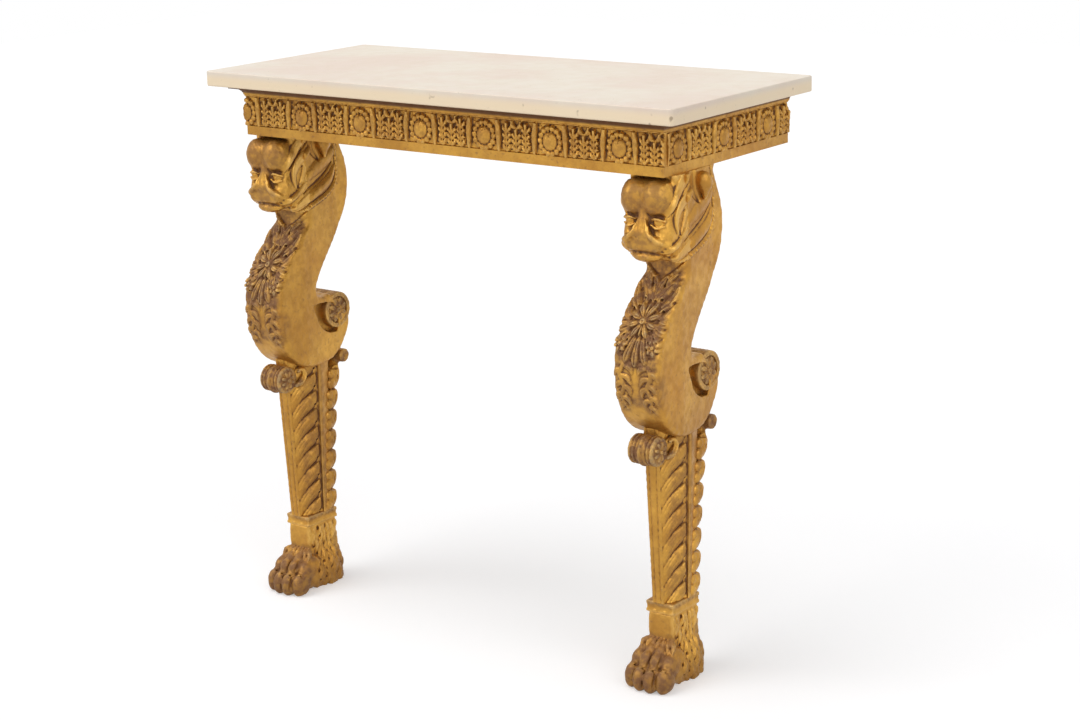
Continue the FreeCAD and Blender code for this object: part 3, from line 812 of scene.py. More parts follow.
@dataclass
class Shaft:
    """Tapered shaft: plain strip in front, and a panel of flame-shaped leaves on each splayed side."""

    low: float = Collar.high
    high: float = 400.0
    strip_half_w: Flat = (7.5, 10.0)
    strip_front: Flat = (-12.0, -27.0)
    panel_half_w: Flat = (27.0, 33.0)
    panel_back: float = 32.0
    rear_half_w: Flat = (20.0, 24.0)
    rear: Flat = (52.0, 60.0)
    leaf_pitch: float = 30.0
    panel_w: float = 50.0
    carved_w: float = 46.0
    step: float = 1.1

    def panel(self, up: np.ndarray) -> Relief:
        """Cut one panel, unrolled: u from the front strip to the rear edge, v up.

        Args:
            up: Heights.

        Returns:
            The relief.
        """
        relief = Relief(np.arange(0, self.panel_w + 1, 0.8), up, -4.0)
        low, high = self.low - 20, self.high + 20
        relief.height += 4.0 * np.maximum(1 - ease(relief.u, 0.5, 2.0), ease(relief.u, 42.0, 43.5))
        relief.lock([(2.2, low), (2.2, high)], [2.2, 2.2], 1.4)
        for k in range(int((self.high - self.low) / self.leaf_pitch) + 3):
            z = self.low - 50 + self.leaf_pitch * k
            relief.lock([(4, z - 8), (10, z + 8), (19, z + 21), (30, z + 31), (38, z + 45)],
                        [5.0, 9.5, 11.5, 10.0, 2.0], 3.2)
            for aside in (-4.5, 0.5, 5.0):
                rib = [(u + aside, z + v - aside) for u, v in ((9, 2), (18, 18), (29, 30))]
                relief.groove(rib, [0.5, 1.3, 0.7], 1.1)
            relief.hole((37.5, z + 25), 2.8, 2.5)
            relief.groove([(37.5, z + 25), (35, z + 17), (30, z + 11)], [2.2, 1.5, 0.6], 1.5)
        return relief

    def clay(self) -> Clay:
        """Model the shaft and cut its leaves.

        Returns:
            The clay.
        """
        clay = Clay((-38, -32, self.low - 4), (38, 66, self.high + 4), self.step)
        x, y, z = clay.grid()
        share = (z - self.low) / (self.high - self.low)

        def mix(pair: Flat) -> np.ndarray:
            """A size between its lower and its upper value, by height."""
            return pair[0] + (pair[1] - pair[0]) * share

        across = np.abs(x)
        strip, front = mix(self.strip_half_w), mix(self.strip_front)
        panel, rear, back = mix(self.panel_half_w), mix(self.rear_half_w), mix(self.rear)
        run_x, run_y = panel - strip, self.panel_back - front
        length = np.sqrt(run_x ** 2 + run_y ** 2)
        along = ((across - strip) * run_x + (y - front) * run_y) / length
        splay = ((across - strip) * run_y - (y - front) * run_x) / length
        rear_x, rear_y = rear - panel, back - self.panel_back
        rear_face = (across - panel) * rear_y - (y - self.panel_back) * rear_x
        rear_face = rear_face / np.sqrt(rear_x ** 2 + rear_y ** 2)
        splay = splay - self.panel(clay.axes[2]).wrapped(along * (self.carved_w / length), 0.0)
        strip_face = front - y + 1.4 * ease(-np.abs(across - strip + 3.2), -2.4, -0.8)
        body = -blend_min(-splay, -strip_face, 1.2)
        body = -blend_min(-body, -rear_face, 3.0)
        body = np.maximum(body, y - back)
        clay.field[:] = np.maximum(np.maximum(body, self.low - z), z - self.high)
        clay.roughen(0.35, 9.0)
        clay.rub(slab((14, -6, 130), (40, 40, 380)).both_sides(), 0.38)
        return clay


@dataclass
class BackLeaf:
    """Scalloped leaf up the back of the shaft, with a small curl at the top."""

    low: float = Collar.high
    lobe_h: float = 33.5
    lobes: int = 7
    curl_y: float = 95.0
    curl_z: float = 373.0
    curl_r: float = 11.0
    half_w: float = 28.0
    step: float = 1.2

    def spine(self, z: float) -> float:
        """How far back the leaf's middle lies at a height."""
        rise = (z - self.low) / 240.0
        return 55.0 + 11.0 * rise + 16.0 * max(rise, 0) ** 3

    def clay(self) -> Clay:
        """Model the lobes, their veins and the curl.

        Returns:
            The clay.
        """
        clay = Clay((-36, 30, self.low - 4), (36, 112, 392), self.step)
        for k in range(self.lobes):
            z = self.low + self.lobe_h * (k + 0.45)
            y = self.spine(z)
            clay.add(ball((0, y, z), (20, 9.0, self.lobe_h * 0.66), (-8, 0, 0)), 3.0)
            lobe = ball((18.5, y - 4.0, z), (9.5, 13.0, self.lobe_h * 0.60), (-12, 10, 0))
            clay.add(lobe.both_sides(), 0.6)
            for side in (-1, 1):
                for x in (6.0, 12.5):
                    vein = [(side * x * 0.7, self.spine(z - 15) + 8, z - 16), (side * x, y + 9.0, z),
                            (side * x, self.spine(z + 12) + 6, z + 13)]
                    clay.strand(vein, [0.6, 1.7, 0.8], 1.0, carve=True, parts=2)
                edge = [(side * 25.0, y + 1.0, z - 13), (side * 27.5, y - 1.0, z + 1),
                        (side * 24.0, y + 1.0, z + 12)]
                clay.strand(edge, [0.6, 1.8, 0.6], 1.0, carve=True, parts=2)
                clay.add(ball((side * 22, y - 13, z - 7), (6.5, 9, 9), (-12, 0, 0)), 0.6)
                clay.add(ball((side * 22, y - 12, z + 9), (6.5, 8, 8), (-12, 0, 0)), 0.6)
                clay.take(ball((side * 24.5, y + 2, z + self.lobe_h * 0.52), (5, 9, 3.4)), 1.5)
        clay.add(roll(self.curl_r, self.half_w, self.curl_y, self.curl_z, 2.5), 4.0)
        clay.add(ball((0, 80, 352), (22, 13, 22), (-30, 0, 0)), 6.0)
        for x in (-18, -9, 0, 9, 18):
            ring = [(x, self.curl_y + self.curl_r * sin(a), self.curl_z - self.curl_r * cos(a))
                    for a in (0.0, 0.8, 1.6, 2.4, 3.2)]
            clay.strand(ring, [1.3] * 5, 0.8, carve=True, parts=2)
        for side in (-1, 1):
            clay.take(ball((side * (self.half_w + 1), self.curl_y, self.curl_z), (3, 5, 5)), 1.0)
        clay.roughen(0.4, 10.0)
        clay.rub(roll(self.curl_r + 4, self.half_w + 6, self.curl_y, self.curl_z), 0.9)
        clay.rub(ball((0, 60, 240), (44, 12, 130)), 0.35)
        return clay


@dataclass
class FrontScroll:
    """Small ribbed roll under the front of the body."""

    radius: float = 21.5
    half_w: float = 21.0
    y: float = -33.0
    z: float = 360.0
    step: float = 1.0

    def clay(self) -> Clay:
        """Model the roll, its ribs and the leaves that tie it to the shaft.

        Returns:
            The clay.
        """
        clay = Clay((-34, -62, 328), (34, 16, 392), self.step)
        clay.add(roll(self.radius, self.half_w, self.y, self.z, 4.0))
        clay.add(limb((0, -20, 352), (0, 2, 364), 12, 15), 6.0)
        for x in (-15.0, -9.0, 9.0, 15.0):
            ring = [(x, self.y - self.radius * sin(a), self.z - self.radius * cos(a))
                    for a in (-0.4, 0.2, 0.8, 1.4, 2.0, 2.6, 3.2)]
            clay.strand(ring, [1.5] * 7, 1.2, carve=True, parts=2)
        clay.add(ball((0, self.y - 2.5, self.z), (7.0, self.radius + 0.5, self.radius + 1.0)), 1.0)
        for side in (-1, 1):
            leaf = [(side * 22, -16, 348), (side * 24, -6, 352), (side * 24, 2, 362), (side * 23, -2, 372),
                    (side * 22, -9, 370)]
            clay.strand(leaf, [3.0, 4.6, 4.6, 3.8, 2.6], 1.0)
            vein = [(side * 27, -10, 353), (side * 28, -2, 360), (side * 27, -3, 368)]
            clay.strand(vein, [0.8, 1.8, 1.0], 1.0, carve=True)
        clay.roughen(0.4, 9.0)
        clay.rub(roll(self.radius + 6, self.half_w + 8, self.y, self.z), 1.0)
        return clay


@dataclass
class RearScroll:
    """The big rear roll, with a ring around each dished end."""

    radius: float = 29.0
    half_w: float = 29.0
    heart: float = 21.5
    y: float = 84.0
    z: float = 452.0
    step: float = 1.0

    def clay(self) -> Clay:
        """Model the roll and sink its ends.

        Returns:
            The clay.
        """
        clay = Clay((-34, 48, 416), (34, 118, 488), self.step)
        clay.add(roll(self.radius, self.half_w, self.y, self.z, 2.5))
        x, y, z = clay.grid()
        far = np.hypot(y - self.y, z - self.z)
        dish = np.maximum(far - self.heart, self.half_w - 3.0 - np.abs(x))
        clay.field = -blend_min(-clay.field, dish.astype(np.float32), 1.5)
        clay.roughen(0.4, 9.0)
        clay.rub(roll(self.heart, self.half_w + 8, self.y, self.z), 0.9)
        clay.rub(roll(self.radius + 6, self.half_w + 8, self.y, self.z), 0.6)
        return clay


@dataclass
class Rosettes:
    """A round flower on each end of both rolls."""

    petals: int = 8
    step: float = 0.9

    def flower(self, clay: Clay, side: int, radius: float, x: float, y: float, z: float) -> None:
        """Model one flower that faces outwards.

        Args:
            clay: Clay to work in.
            side: Which way it faces along X.
            radius: Its radius.
            x: How far out its base lies.
            y: Its middle, back.
            z: Its middle, up.
        """
        clay.add(roll(radius * 0.9, x + 0.4, y, z, 0.3))
        for k in range(self.petals):
            turn = 360 * (k + 0.5) / self.petals
            root, middle, tip = (from_middle((y, z), share * radius, radians(turn))
                                 for share in (0.3, 0.62, 0.9))
            petal = ball((side * (x + 0.3), *middle), (3.4, radius * 0.40, radius * 0.22), (turn, 0, 0))
            clay.add(petal, 0.4)
            crease = [(side * (x + 4.0), *root), (side * (x + 3.0), *tip)]
            clay.strand(crease, [0.9, 0.6], 0.5, carve=True, parts=1)
        clay.add(ball((side * (x + 1.0), y, z), (4.2, radius * 0.26, radius * 0.26)), 0.4)
        clay.take(ball((side * (x + 5.2), y, z), (2.0, radius * 0.10, radius * 0.10)), 0.4)

    def clay(self) -> Clay:
        """Model all four flowers of one leg.

        Returns:
            The clay.
        """
        clay = Clay((-36, -56, 340), (36, 108, 476), self.step)
        for side in (-1, 1):
            self.flower(clay, side, 20.0, 26.5, RearScroll.y, RearScroll.z)
            self.flower(clay, side, 14.5, 20.5, FrontScroll.y, FrontScroll.z)
        clay.take(roll(60, 20.0, 40, 400))
        clay.rub(slab((-60, -60, 300), (60, 120, 500)), 0.9)
        return clay


CORD: tuple[Flat, ...] = (
    (-30, 618), (-8, 622), (12, 627), (26, 632), (44, 637), (62, 642), (80, 651), (90, 663),
    (93, 680), (92, 700), (89, 726), (84, 752))


def mane(back: np.ndarray, up: np.ndarray) -> Relief:
    """Carve the mane on the side of head and neck.

    Args:
        back: Places front to back.
        up: Heights.

    Returns:
        The relief, with its locks, its open curl and the knotted cord along its lower edge.
    """
    relief = Relief(back, up)
    rising = CORD[:9]
    rise = relief.v - np.interp(relief.u, [p[0] for p in rising], [p[1] for p in rising])
    relief.height += 2.6 * ease(rise, -0.5, 1.5) * (1 - ease(relief.u, 88, 92))
    relief.lock([(16, 758), (6, 742), (-7, 728), (-20, 713), (-30, 700), (-34, 686)],
                [6, 8.5, 8.5, 8, 6, 3], 9.0)
    relief.lock([(30, 728), (14, 716), (-2, 707), (-11, 694), (-13, 680), (-10, 668)],
                [3, 7, 7.5, 5.5, 4, 2.5], 9.0)
    relief.lock([(90, 716), (70, 702), (48, 693), (28, 685), (12, 674)], [7, 12, 13, 11, 4], 6.5)
    relief.groove([(8, 697), (1, 685), (-4, 669)], [4.0, 7.5, 4.5], 10.0)
    relief.lock([(14, 672), (2, 662), (-14, 654), (-28, 648), (-40, 641)], [3, 5.0, 5.5, 5.5, 4.0], 9.0)
    relief.lock([(86, 686), (76, 672), (62, 663), (42, 655), (20, 647), (2, 641), (-14, 634)],
                [4, 8, 9.5, 9.5, 8.5, 6, 3], 8.5)
    relief.groove([(22, 736), (4, 722), (-10, 709), (-20, 696)], [1.6, 3.0, 3.0, 1.6], 3.5)
    relief.groove([(82, 694), (62, 679), (40, 669), (22, 662), (8, 655)], [1.6, 3.0, 3.2, 3.0, 1.6], 3.5)
    relief.groove([(32, 756), (29, 738), (32, 720), (46, 704)], [6.0, 9.0, 8.0, 4.0], 7.0)
    for below in (-6.0, 6.0):
        beside = [(u - 0.5 * below, v + below * 0.85) for u, v in CORD]
        relief.groove(beside, [2.4] * len(CORD), 3.0 if below < 0 else 2.4)
    relief.lock(CORD, [3.0] * len(CORD), 3.6)
    for k, (u, v) in enumerate(curve_through(CORD, 5)[:-1]):
        relief.button((float(u), float(v)), 3.4, 5.0 if k % 2 else 3.6)
    return relief


@dataclass
class ScrollBody:
    """The S-shaped body: a round bulb and volute below, a carved chest, and a maned neck."""

    top: float = 749.0
    step: float = 1.2
    front_half_w: float = 38.0
    rear_half_w: float = 28.0
    rear_from: float = 96.0
    web_half_w: float = 17.0
    rosette_z: float = 548.0
    front: tuple[Flat, ...] = (
        (45, 372), (20, 372), (-4, 377), (-20, 385), (-35, 398), (-46, 414), (-53, 429), (-58, 444),
        (-60, 458), (-61, 474), (-60, 490), (-57, 505), (-51, 519), (-43, 532), (-34, 545), (-23, 558),
        (-10, 571), (0, 584), (7, 596), (12, 608), (13, 624), (12, 645), (12, 690), (12, 766))
    rear: tuple[Flat, ...] = (
        (96, 766), (101, 737), (108, 720), (114, 706), (120, 691), (123, 676), (124, 660), (123, 645),
        (119, 629), (114, 615), (107, 602), (99, 590), (90, 577), (79, 564), (68, 551), (57, 538),
        (46, 525), (37, 512), (32, 501), (33, 490), (40, 483), (52, 481), (68, 481), (84, 462),
        (108, 446), (113, 434), (111, 420), (104, 406), (93, 391), (78, 380), (62, 374))

    def half_width(self, y: np.ndarray) -> np.ndarray:
        """Half the width of the body across X, by place front to back."""
        gain = self.rear_half_w - self.front_half_w
        return self.front_half_w + gain * np.clip(y / self.rear_from, 0, 1)

    def clay(self) -> Clay:
        """Model the body with its chest, mane and volute.

        Returns:
            The clay.
        """
        clay = Clay((-48, -76, 364), (48, 132, self.top + 4), self.step)
        x, y, z = clay.grid()
        outline = curve_through(self.front + self.rear, 3, closed=True)
        side = outline_distance(outline, y[0], z[0])[None].astype(np.float32)
        side = side - self.chest(clay.axes[0], clay.axes[2]).height[:, None, :] * (1 - ease(y, 16, 28))
        wall = np.abs(x) - self.half_width(y) - mane(clay.axes[1], clay.axes[2]).height[None]
        throat = ease(z, 588, 604) * (1 - ease(z, 650, 670)) * (1 - ease(y, 20, 50))
        fillet = 6 + 3 * (1 - ease(z, 470, 520)) + 14 * throat
        near = np.maximum(fillet - np.abs(side - wall), 0) / fillet
        clay.field[:] = np.maximum(side, wall) + near * near * fillet / 4
        self.volute(clay)
        clay.roughen(0.4, 17.0)
        clay.trim(self.top)
        clay.rub(slab((-34.5, -80, 482), (34.5, 14, 604), 4.0), 1.0)
        clay.rub(ball((22, -60, 452), (20, 30, 40)).both_sides(), 0.55)
        clay.rub(ball((0, -60, 436), (30, 24, 9)), 0.8)
        clay.rub(slab((-24, 30, 420), (24, 100, 480), 6.0), 0.2)
        clay.rub(ball((0, 4, 606), (34, 30, 22)), 0.7)
        return clay

    def volute(self, clay: Clay) -> None:
        """Hollow out each side between the bulb and the roll.

        Args:
            clay: Clay to work in.
        """
        middle = (RearScroll.y, RearScroll.z)
        spiral = [(2.22, 0.90), (1.98, 0.99), (1.78, 1.09), (1.58, 1.19), (1.40, 1.29), (1.24, 1.39),
                  (1.12, 1.47)]
        places = [from_middle(middle, RearScroll.radius * far, pi * turn) for far, turn in spiral]
        places += [(middle[0], middle[1] - 10), (middle[0] - 12, middle[1] + 14)]
        x, y, z = clay.grid()
        outline = curve_through(places, 4, closed=True)
        flat = outline_distance(outline, y[0], z[0])[None].astype(np.float32)
        hollow = -blend_min(-flat, np.abs(x) - self.web_half_w, 5.0)
        clay.field = -blend_min(-clay.field, hollow, 2.0)

    def chest(self, across: np.ndarray, up: np.ndarray) -> Relief:
        """Carve the chest: a flower in a fan of leaves, foliage above and two hanging sprays below.

        Args:
            across: Places across the body.
            up: Heights.

        Returns:
            The relief, the same on both sides of the middle.
        """
        relief = Relief(np.abs(across), up)
        flower = (0.0, self.rosette_z)
        field = ease(relief.v, 486, 490) * (1 - ease(relief.v, 598, 606)) * (1 - ease(relief.u, 33, 37))
        relief.height += 1.6 * field
        for k in range(6):
            angle = radians(-90 + 17 * k)
            reach = 37 + 21 * sin(angle) ** 2
            ways = [from_middle(flower, share * reach, angle) for share in (0.35, 0.6, 0.85, 1)]
            relief.lock(ways, [2.5, 5.0, 6.2, 3.4], 6.5, 2.4)
            gap = radians(-90 + 17 * (k + 0.5))
            relief.hole(from_middle(flower, reach * 0.93, gap), 2.2, 4.5)
        for ways, widths in (
                ([(5, 566), (11, 578), (18, 589), (24, 595)], [4, 7.5, 7, 3.5]),
                ([(16, 560), (25, 568), (31, 579), (33, 590)], [4, 7.5, 6, 3]),
                ([(0, 566), (1, 580), (4, 592), (9, 601)], [4, 7, 6, 3]),
                ([(20, 549), (28, 551), (35, 559), (37, 568)], [4, 6.5, 6, 3]),
                ([(14, 592), (17, 600), (24, 606)], [3, 4, 2])):
            relief.lock(ways, widths, 6.2, 2.2)
            for side in (-1, 1):
                (u0, v0), (u1, v1) = ways[1], ways[-2]
                relief.groove([(u0 + side * 3.0, v0), (u1 + side * 3.4, v1)], [0.7, 1.0], 1.2)
        for place in ((10, 590), (25, 582), (13, 573), (34, 571), (24, 560), (29, 599), (12, 605)):
            relief.hole(place, 2.5, 5.0)
        garland = [(40, 629), (31, 619), (21, 609), (12, 602)]
        relief.groove([(u - 1.5, v + 5) for u, v in garland], [2.0, 2.4, 2.4, 1.6], 2.6)
        relief.lock(garland, [3.0, 3.4, 3.4, 3.0], 3.4)
        for k, (u, v) in enumerate(curve_through(garland, 3)):
            relief.button((float(u), float(v)), 3.0, 5.2 if k % 2 else 4.0)
        relief.flower(flower, 23.0, 9, 9.5, 6.0)
        relief.flower((27, self.rosette_z - 31), 11.5, 7, 8.5, 3.6)
        relief.lock([(20, 489), (26, 474), (19, 458), (25, 442), (19, 422)], [3.0, 3.4, 3.2, 2.8, 1.4], 3.0)
        for ways in (
                [(24, 480), (31, 478), (36, 470)], [(22, 472), (13, 470), (8, 461)],
                [(20, 462), (28, 460), (34, 452)], [(20, 458), (11, 453), (10, 444)],
                [(24, 446), (31, 443), (34, 435)], [(23, 440), (15, 438), (12, 429)],
                [(21, 430), (27, 428), (30, 420)], [(16, 486), (9, 484), (5, 476)]):
            relief.lock(ways, [3.2, 4.4, 1.4], 3.8, 0.9)
        return relief


@dataclass
class LionHead:
    """The lion's mask: two bulging lobes over sunk eyes, a flat nose, broad muzzle and chin."""

    top: float = ScrollBody.top
    step: float = 1.0

    def clay(self) -> Clay:
        """Model the mask.

        Returns:
            The clay.
        """
        clay = Clay((-50, -64, 618), (50, 26, self.top + 4), self.step)
        x, y, _ = clay.grid()
        clay.add(slab((-36.0, -12, 628), (36.0, 20, 760), 5.0))
        clay.add(slab((-33.5, -34, 636), (33.5, 10, 742), 13.0), 4.0)
        clay.add(ball((25, -20, 664), (12, 19, 24)).both_sides(), 4.0)
        clay.add(ball((17.5, -28, 718), (20.5, 19.5, 25)).both_sides(), 3.0)
        clay.add(slab((-33, -42, 699), (33, -8, 739), 14.0), 4.0)
        self.brow(clay)
        self.muzzle(clay)
        self.eyes(clay)
        locks = mane(clay.axes[1], clay.axes[2]).height[None]
        clay.field -= locks * ease(np.abs(x), 26, 33) * ease(y, -36, -24)
        clay.roughen(0.4, 12.0)
        clay.trim(self.top)
        clay.rub(ball((0, -44, 718), (44, 30, 30)), 0.5)
        clay.rub(ball((0, -46, 654), (34, 18, 20)), 0.5)
        return clay

    def brow(self, clay: Clay) -> None:
        """Part the two lobes and undercut them.

        Args:
            clay: Clay to work in.
        """
        parting = [(0, -38, 744), (0, -48, 730), (0, -49, 712), (0, -44, 700)]
        clay.strand(parting, [1.4, 2.2, 2.4, 1.8], 6.0, carve=True)
        under = [(-38, -22, 694), (-26, -36, 694), (-12, -41, 693), (0, -41, 696), (12, -41, 693),
                 (26, -36, 694), (38, -22, 694)]
        clay.strand(under, [2.6, 4.0, 4.2, 2.6, 4.2, 4.0, 2.6], 2.5, carve=True)

    def muzzle(self, clay: Clay) -> None:
        """Model nose, lips, mouth and chin.

        Args:
            clay: Clay to work in.
        """
        clay.add(limb((0, -33, 699), (0, -36, 676), 7.5, 9.5), 4.0)
        clay.add(slab((-14, -46, 662), (14, -20, 676), 6.5), 6.0)
        clay.add(slab((-30, -43.5, 645), (30, -16, 666), 7.5), 5.0)
        clay.add(ball((0, -27, 637), (23, 14, 8.5)), 4.0)
        lip = [(-35, -22, 648), (-24, -40, 644.5), (-9, -45, 643), (9, -45, 643), (24, -40, 644.5),
               (35, -22, 648)]
        clay.strand(lip, [1.2, 1.8, 2.0, 2.0, 1.8, 1.2], 2.0, carve=True)
        clay.strand([(0, -47, 662), (0, -45, 648)], [0.8, 1.2], 1.5, carve=True)
        for side in (-1, 1):
            clay.take(ball((side * 7.5, -47, 665), (3.0, 2.6, 2.2)), 1.2)
            ridge = [(side * 8, -41, 688), (side * 11.5, -43.5, 676), (side * 18, -44.5, 667),
                     (side * 28, -41, 660), (side * 35, -31, 655)]
            clay.strand(ridge, [1.2, 3.0, 4.2, 3.8, 2.0], 5.0)
            clay.take(ball((side * 24, -42, 674), (9, 5, 3.5), (0, side * 20, 0)), 5.0)

    def eyes(self, clay: Clay) -> None:
        """Model the eyes, their lids and the dark pits beside the nose.

        Args:
            clay: Clay to work in.
        """
        for side in (-1, 1):
            clay.take(ball((side * 12, -41, 688), (4.0, 6, 6.0)), 2.0)
            clay.add(ball((side * 23, -31.5, 686), (7.5, 7.0, 6.0)), 1.5)
            upper = [(side * 13, -36, 689), (side * 22, -39.5, 692), (side * 33, -34, 689)]
            clay.strand(upper, [1.0, 1.8, 1.0], 3.2)
            lower = [(side * 13, -37, 683), (side * 23, -38.5, 679), (side * 33, -33.5, 682)]
            clay.strand(lower, [1.0, 1.7, 1.0], 3.6)


@dataclass
class Ears:
    """A leaf-shaped ear on each side of the neck."""

    step: float = 0.9

    def clay(self) -> Clay:
        """Model both ears.

        Returns:
            The clay.
        """
        clay = Clay((-52, 22, 690), (52, 78, 747), self.step)
        for side in (-1, 1):
            clay.add(ball((side * 37, 56, 731), (13.5, 12.0, 14.5), (14, 0, 0)), 1.0)
            clay.add(limb((side * 39.5, 57, 724), (side * 38.5, 59, 707), 8.5, 2.6), 6.0)
        clay.roughen(0.3, 9.0)
        return clay


@dataclass
class Legs:
    """Both legs: each piece is carved once and stands in both places."""

    gilding: bpy.types.Material
    slot: str = "gilt_wood"

    def places(self) -> dict[Side, Point]:
        """Find where each leg's own axes start on the floor.

        Returns:
            Each leg's place, in metres.
        """
        spots = {}
        for side in Side:
            low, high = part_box(f"{side.word}_rear_scroll")
            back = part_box(f"{side.word}_collar")[0][1] + (Collar.front + Collar.out) * MM
            spots[side] = ((low[0] + high[0]) / 2, back, 0.0)
        return spots

    def build(self) -> None:
        """Carve every piece and show it on both legs."""
        spots = self.places()
        # each piece has the share by which its flat stretches may be meshed more coarsely
        makers = {
            "paw": (Paw(), 0.02), "collar": (Collar(), 0.1), "shaft": (Shaft(), 0.02),
            "back_leaf": (BackLeaf(), 0.02), "front_scroll": (FrontScroll(), 0.02),
            "rear_scroll": (RearScroll(), 0.05), "rosettes": (Rosettes(), 0.0),
            "scroll_body": (ScrollBody(), 0.02), "lion_head": (LionHead(), 0.01), "ears": (Ears(), 0.0)}
        for name, (maker, coarse) in makers.items():
            mesh = maker.clay().skin(name, coarse)
            for side, place in spots.items():
                node = f"{side.word}_{name}"
                place_piece(f"{node}_carved", mesh, node, self.gilding, place)


# ---- Carved band of the frame --------------------------------------------------------------------
@dataclass
class Band:
    """One length of the carved band, laid out flat: u along it, v up, w out.

    The heart, the ring of leaves around it and the drilled eyes outside them each have their half
    sizes along u and v, about one middle.
    """

    length: float
    first: float
    height: float = 48.0
    depth: float = 9.0
    pitch: float = 117.0
    heart: Flat = (13.0, 14.2)
    heart_v: float = 21.0
    ring: Flat = (17.2, 18.2)
    eyes: Flat = (20.6, 22.0)
    crest: float = 7.4
    step: float = 0.9

    def carving(self, along: np.ndarray, up: np.ndarray) -> Relief:
        """Carve hearts in rings of leaves, with upright leaves between them.

        Args:
            along: Places along the band, which the pattern folds to their distance from a heart.
            up: Places up the band.

        Returns:
            The relief over the band's ground.
        """
        folded = np.abs((along - self.first + self.pitch / 2) % self.pitch - self.pitch / 2)
        relief = Relief(folded, up)
        relief.height += 0.6
        middle, top = self.pitch / 2, self.height - 4.0
        share = np.hypot(relief.u / self.heart[0], (relief.v - self.heart_v) / self.heart[1])
        for k in range(7):
            turn = radians(-78 + 26 * k)
            leaf = (self.ring[0] * cos(turn), self.heart_v + self.ring[1] * sin(turn))
            relief.button(leaf, 5.2, 5.2)
            turn += 0.23
            relief.hole((self.eyes[0] * cos(turn), self.heart_v + self.eyes[1] * sin(turn)), 2.2, 3.6)
        relief.lock([(27, 2), (27, 14), (26.5, 29), (25, top)], [2.8, 4.2, 5.2, 3.4], self.crest)
        relief.leaf((41.5, 2), 39.0, 6.4, 4, 6.8)
        relief.leaf((middle, 2), 30.0, 7.0, 3, 6.6)
        relief.lock([(50, top + 1), (52, 38), (57, 35)], [3.0, 4.2, 2.4], 5.8)
        for place in ((34.4, 40.5), (34.4, 29), (34, 18), (18.6, 42), (47.5, 42), (middle, 41), (50, 29)):
            relief.hole(place, 3.0, 4.6)
        heart = self.crest * np.sqrt(np.maximum(1 - share ** 3, 0))
        relief.height = np.maximum(relief.height, heart)
        relief.groove([(0, 36), (0, 27)], [2.2, 0.8], 2.0)
        rail = ease(relief.v, self.height - 3.0, self.height - 2.0)
        relief.height = relief.height * (1 - rail) + 3.0 * rail
        return relief

    def clay(self) -> Clay:
        """Model the band.

        Returns:
            The clay.
        """
        clay = Clay((-4, -3, -3), (self.length + 4, self.depth + 6, self.height + 3), self.step)
        u, w, v = clay.grid()
        relief = self.carving(clay.axes[0], clay.axes[2])
        clay.field[:] = 0.75 * (w - (self.depth - 4.0) - relief.height[:, None, :])
        clay.roughen(0.45, 8.0)
        ends = np.maximum(np.maximum(-u, u - self.length), np.maximum(-v, v - self.height))
        clay.field = np.maximum(clay.field, np.maximum(ends, -w)).astype(np.float32)
        clay.rub(slab((-9, self.depth - 2, 0), (self.length + 9, self.depth + 9, self.height)), 0.25)
        return clay


@dataclass
class Frieze:
    """The carved band on the front and on both sides of the frame."""

    gilding: bpy.types.Material
    slot: str = "gilt_wood"
    front_heart: float = -36.0
    side_heart: float = 9.0
    proud: float = 2.0
    coarse: float = 0.03

    def build(self) -> None:
        """Carve and hang the three lengths."""
        low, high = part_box("frieze_carving_front")
        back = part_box("frieze_carving_right")[1][1]
        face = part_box("base_fillet_front")[0][1]
        rail_low, rail_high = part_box("front_rail")
        start, floor = rail_low[1], low[2]
        depth = (start / MM) - (face / MM) + self.proud
        corner = rail_high[0] / MM + depth
        height = (high[2] - floor) / MM
        front = Band(2 * corner, self.front_heart + corner, height, depth).clay()
        mesh = front.skin("frieze_front", self.coarse)
        mesh.transform(Matrix(((1, 0, 0, -corner * MM), (0, -1, 0, start), (0, 0, 1, floor), (0, 0, 0, 1))))
        mesh.flip_normals()
        place_piece("frieze_front_carved", mesh, "frieze_carving_front", self.gilding)
        flank = Band((back - start) / MM, self.side_heart - start / MM, height, depth).clay()
        for side in (Side.RIGHT, Side.LEFT):
            name, sign = f"frieze_{side.word}", side.value
            mesh = flank.skin(name, self.coarse)
            wall = sign * rail_high[0]
            mesh.transform(Matrix(((0, sign, 0, wall), (1, 0, 0, start), (0, 0, 1, floor), (0, 0, 0, 1))))
            if side is Side.RIGHT:
                mesh.flip_normals()
            place_piece(f"{name}_carved", mesh, f"frieze_carving_{side.word}", self.gilding)


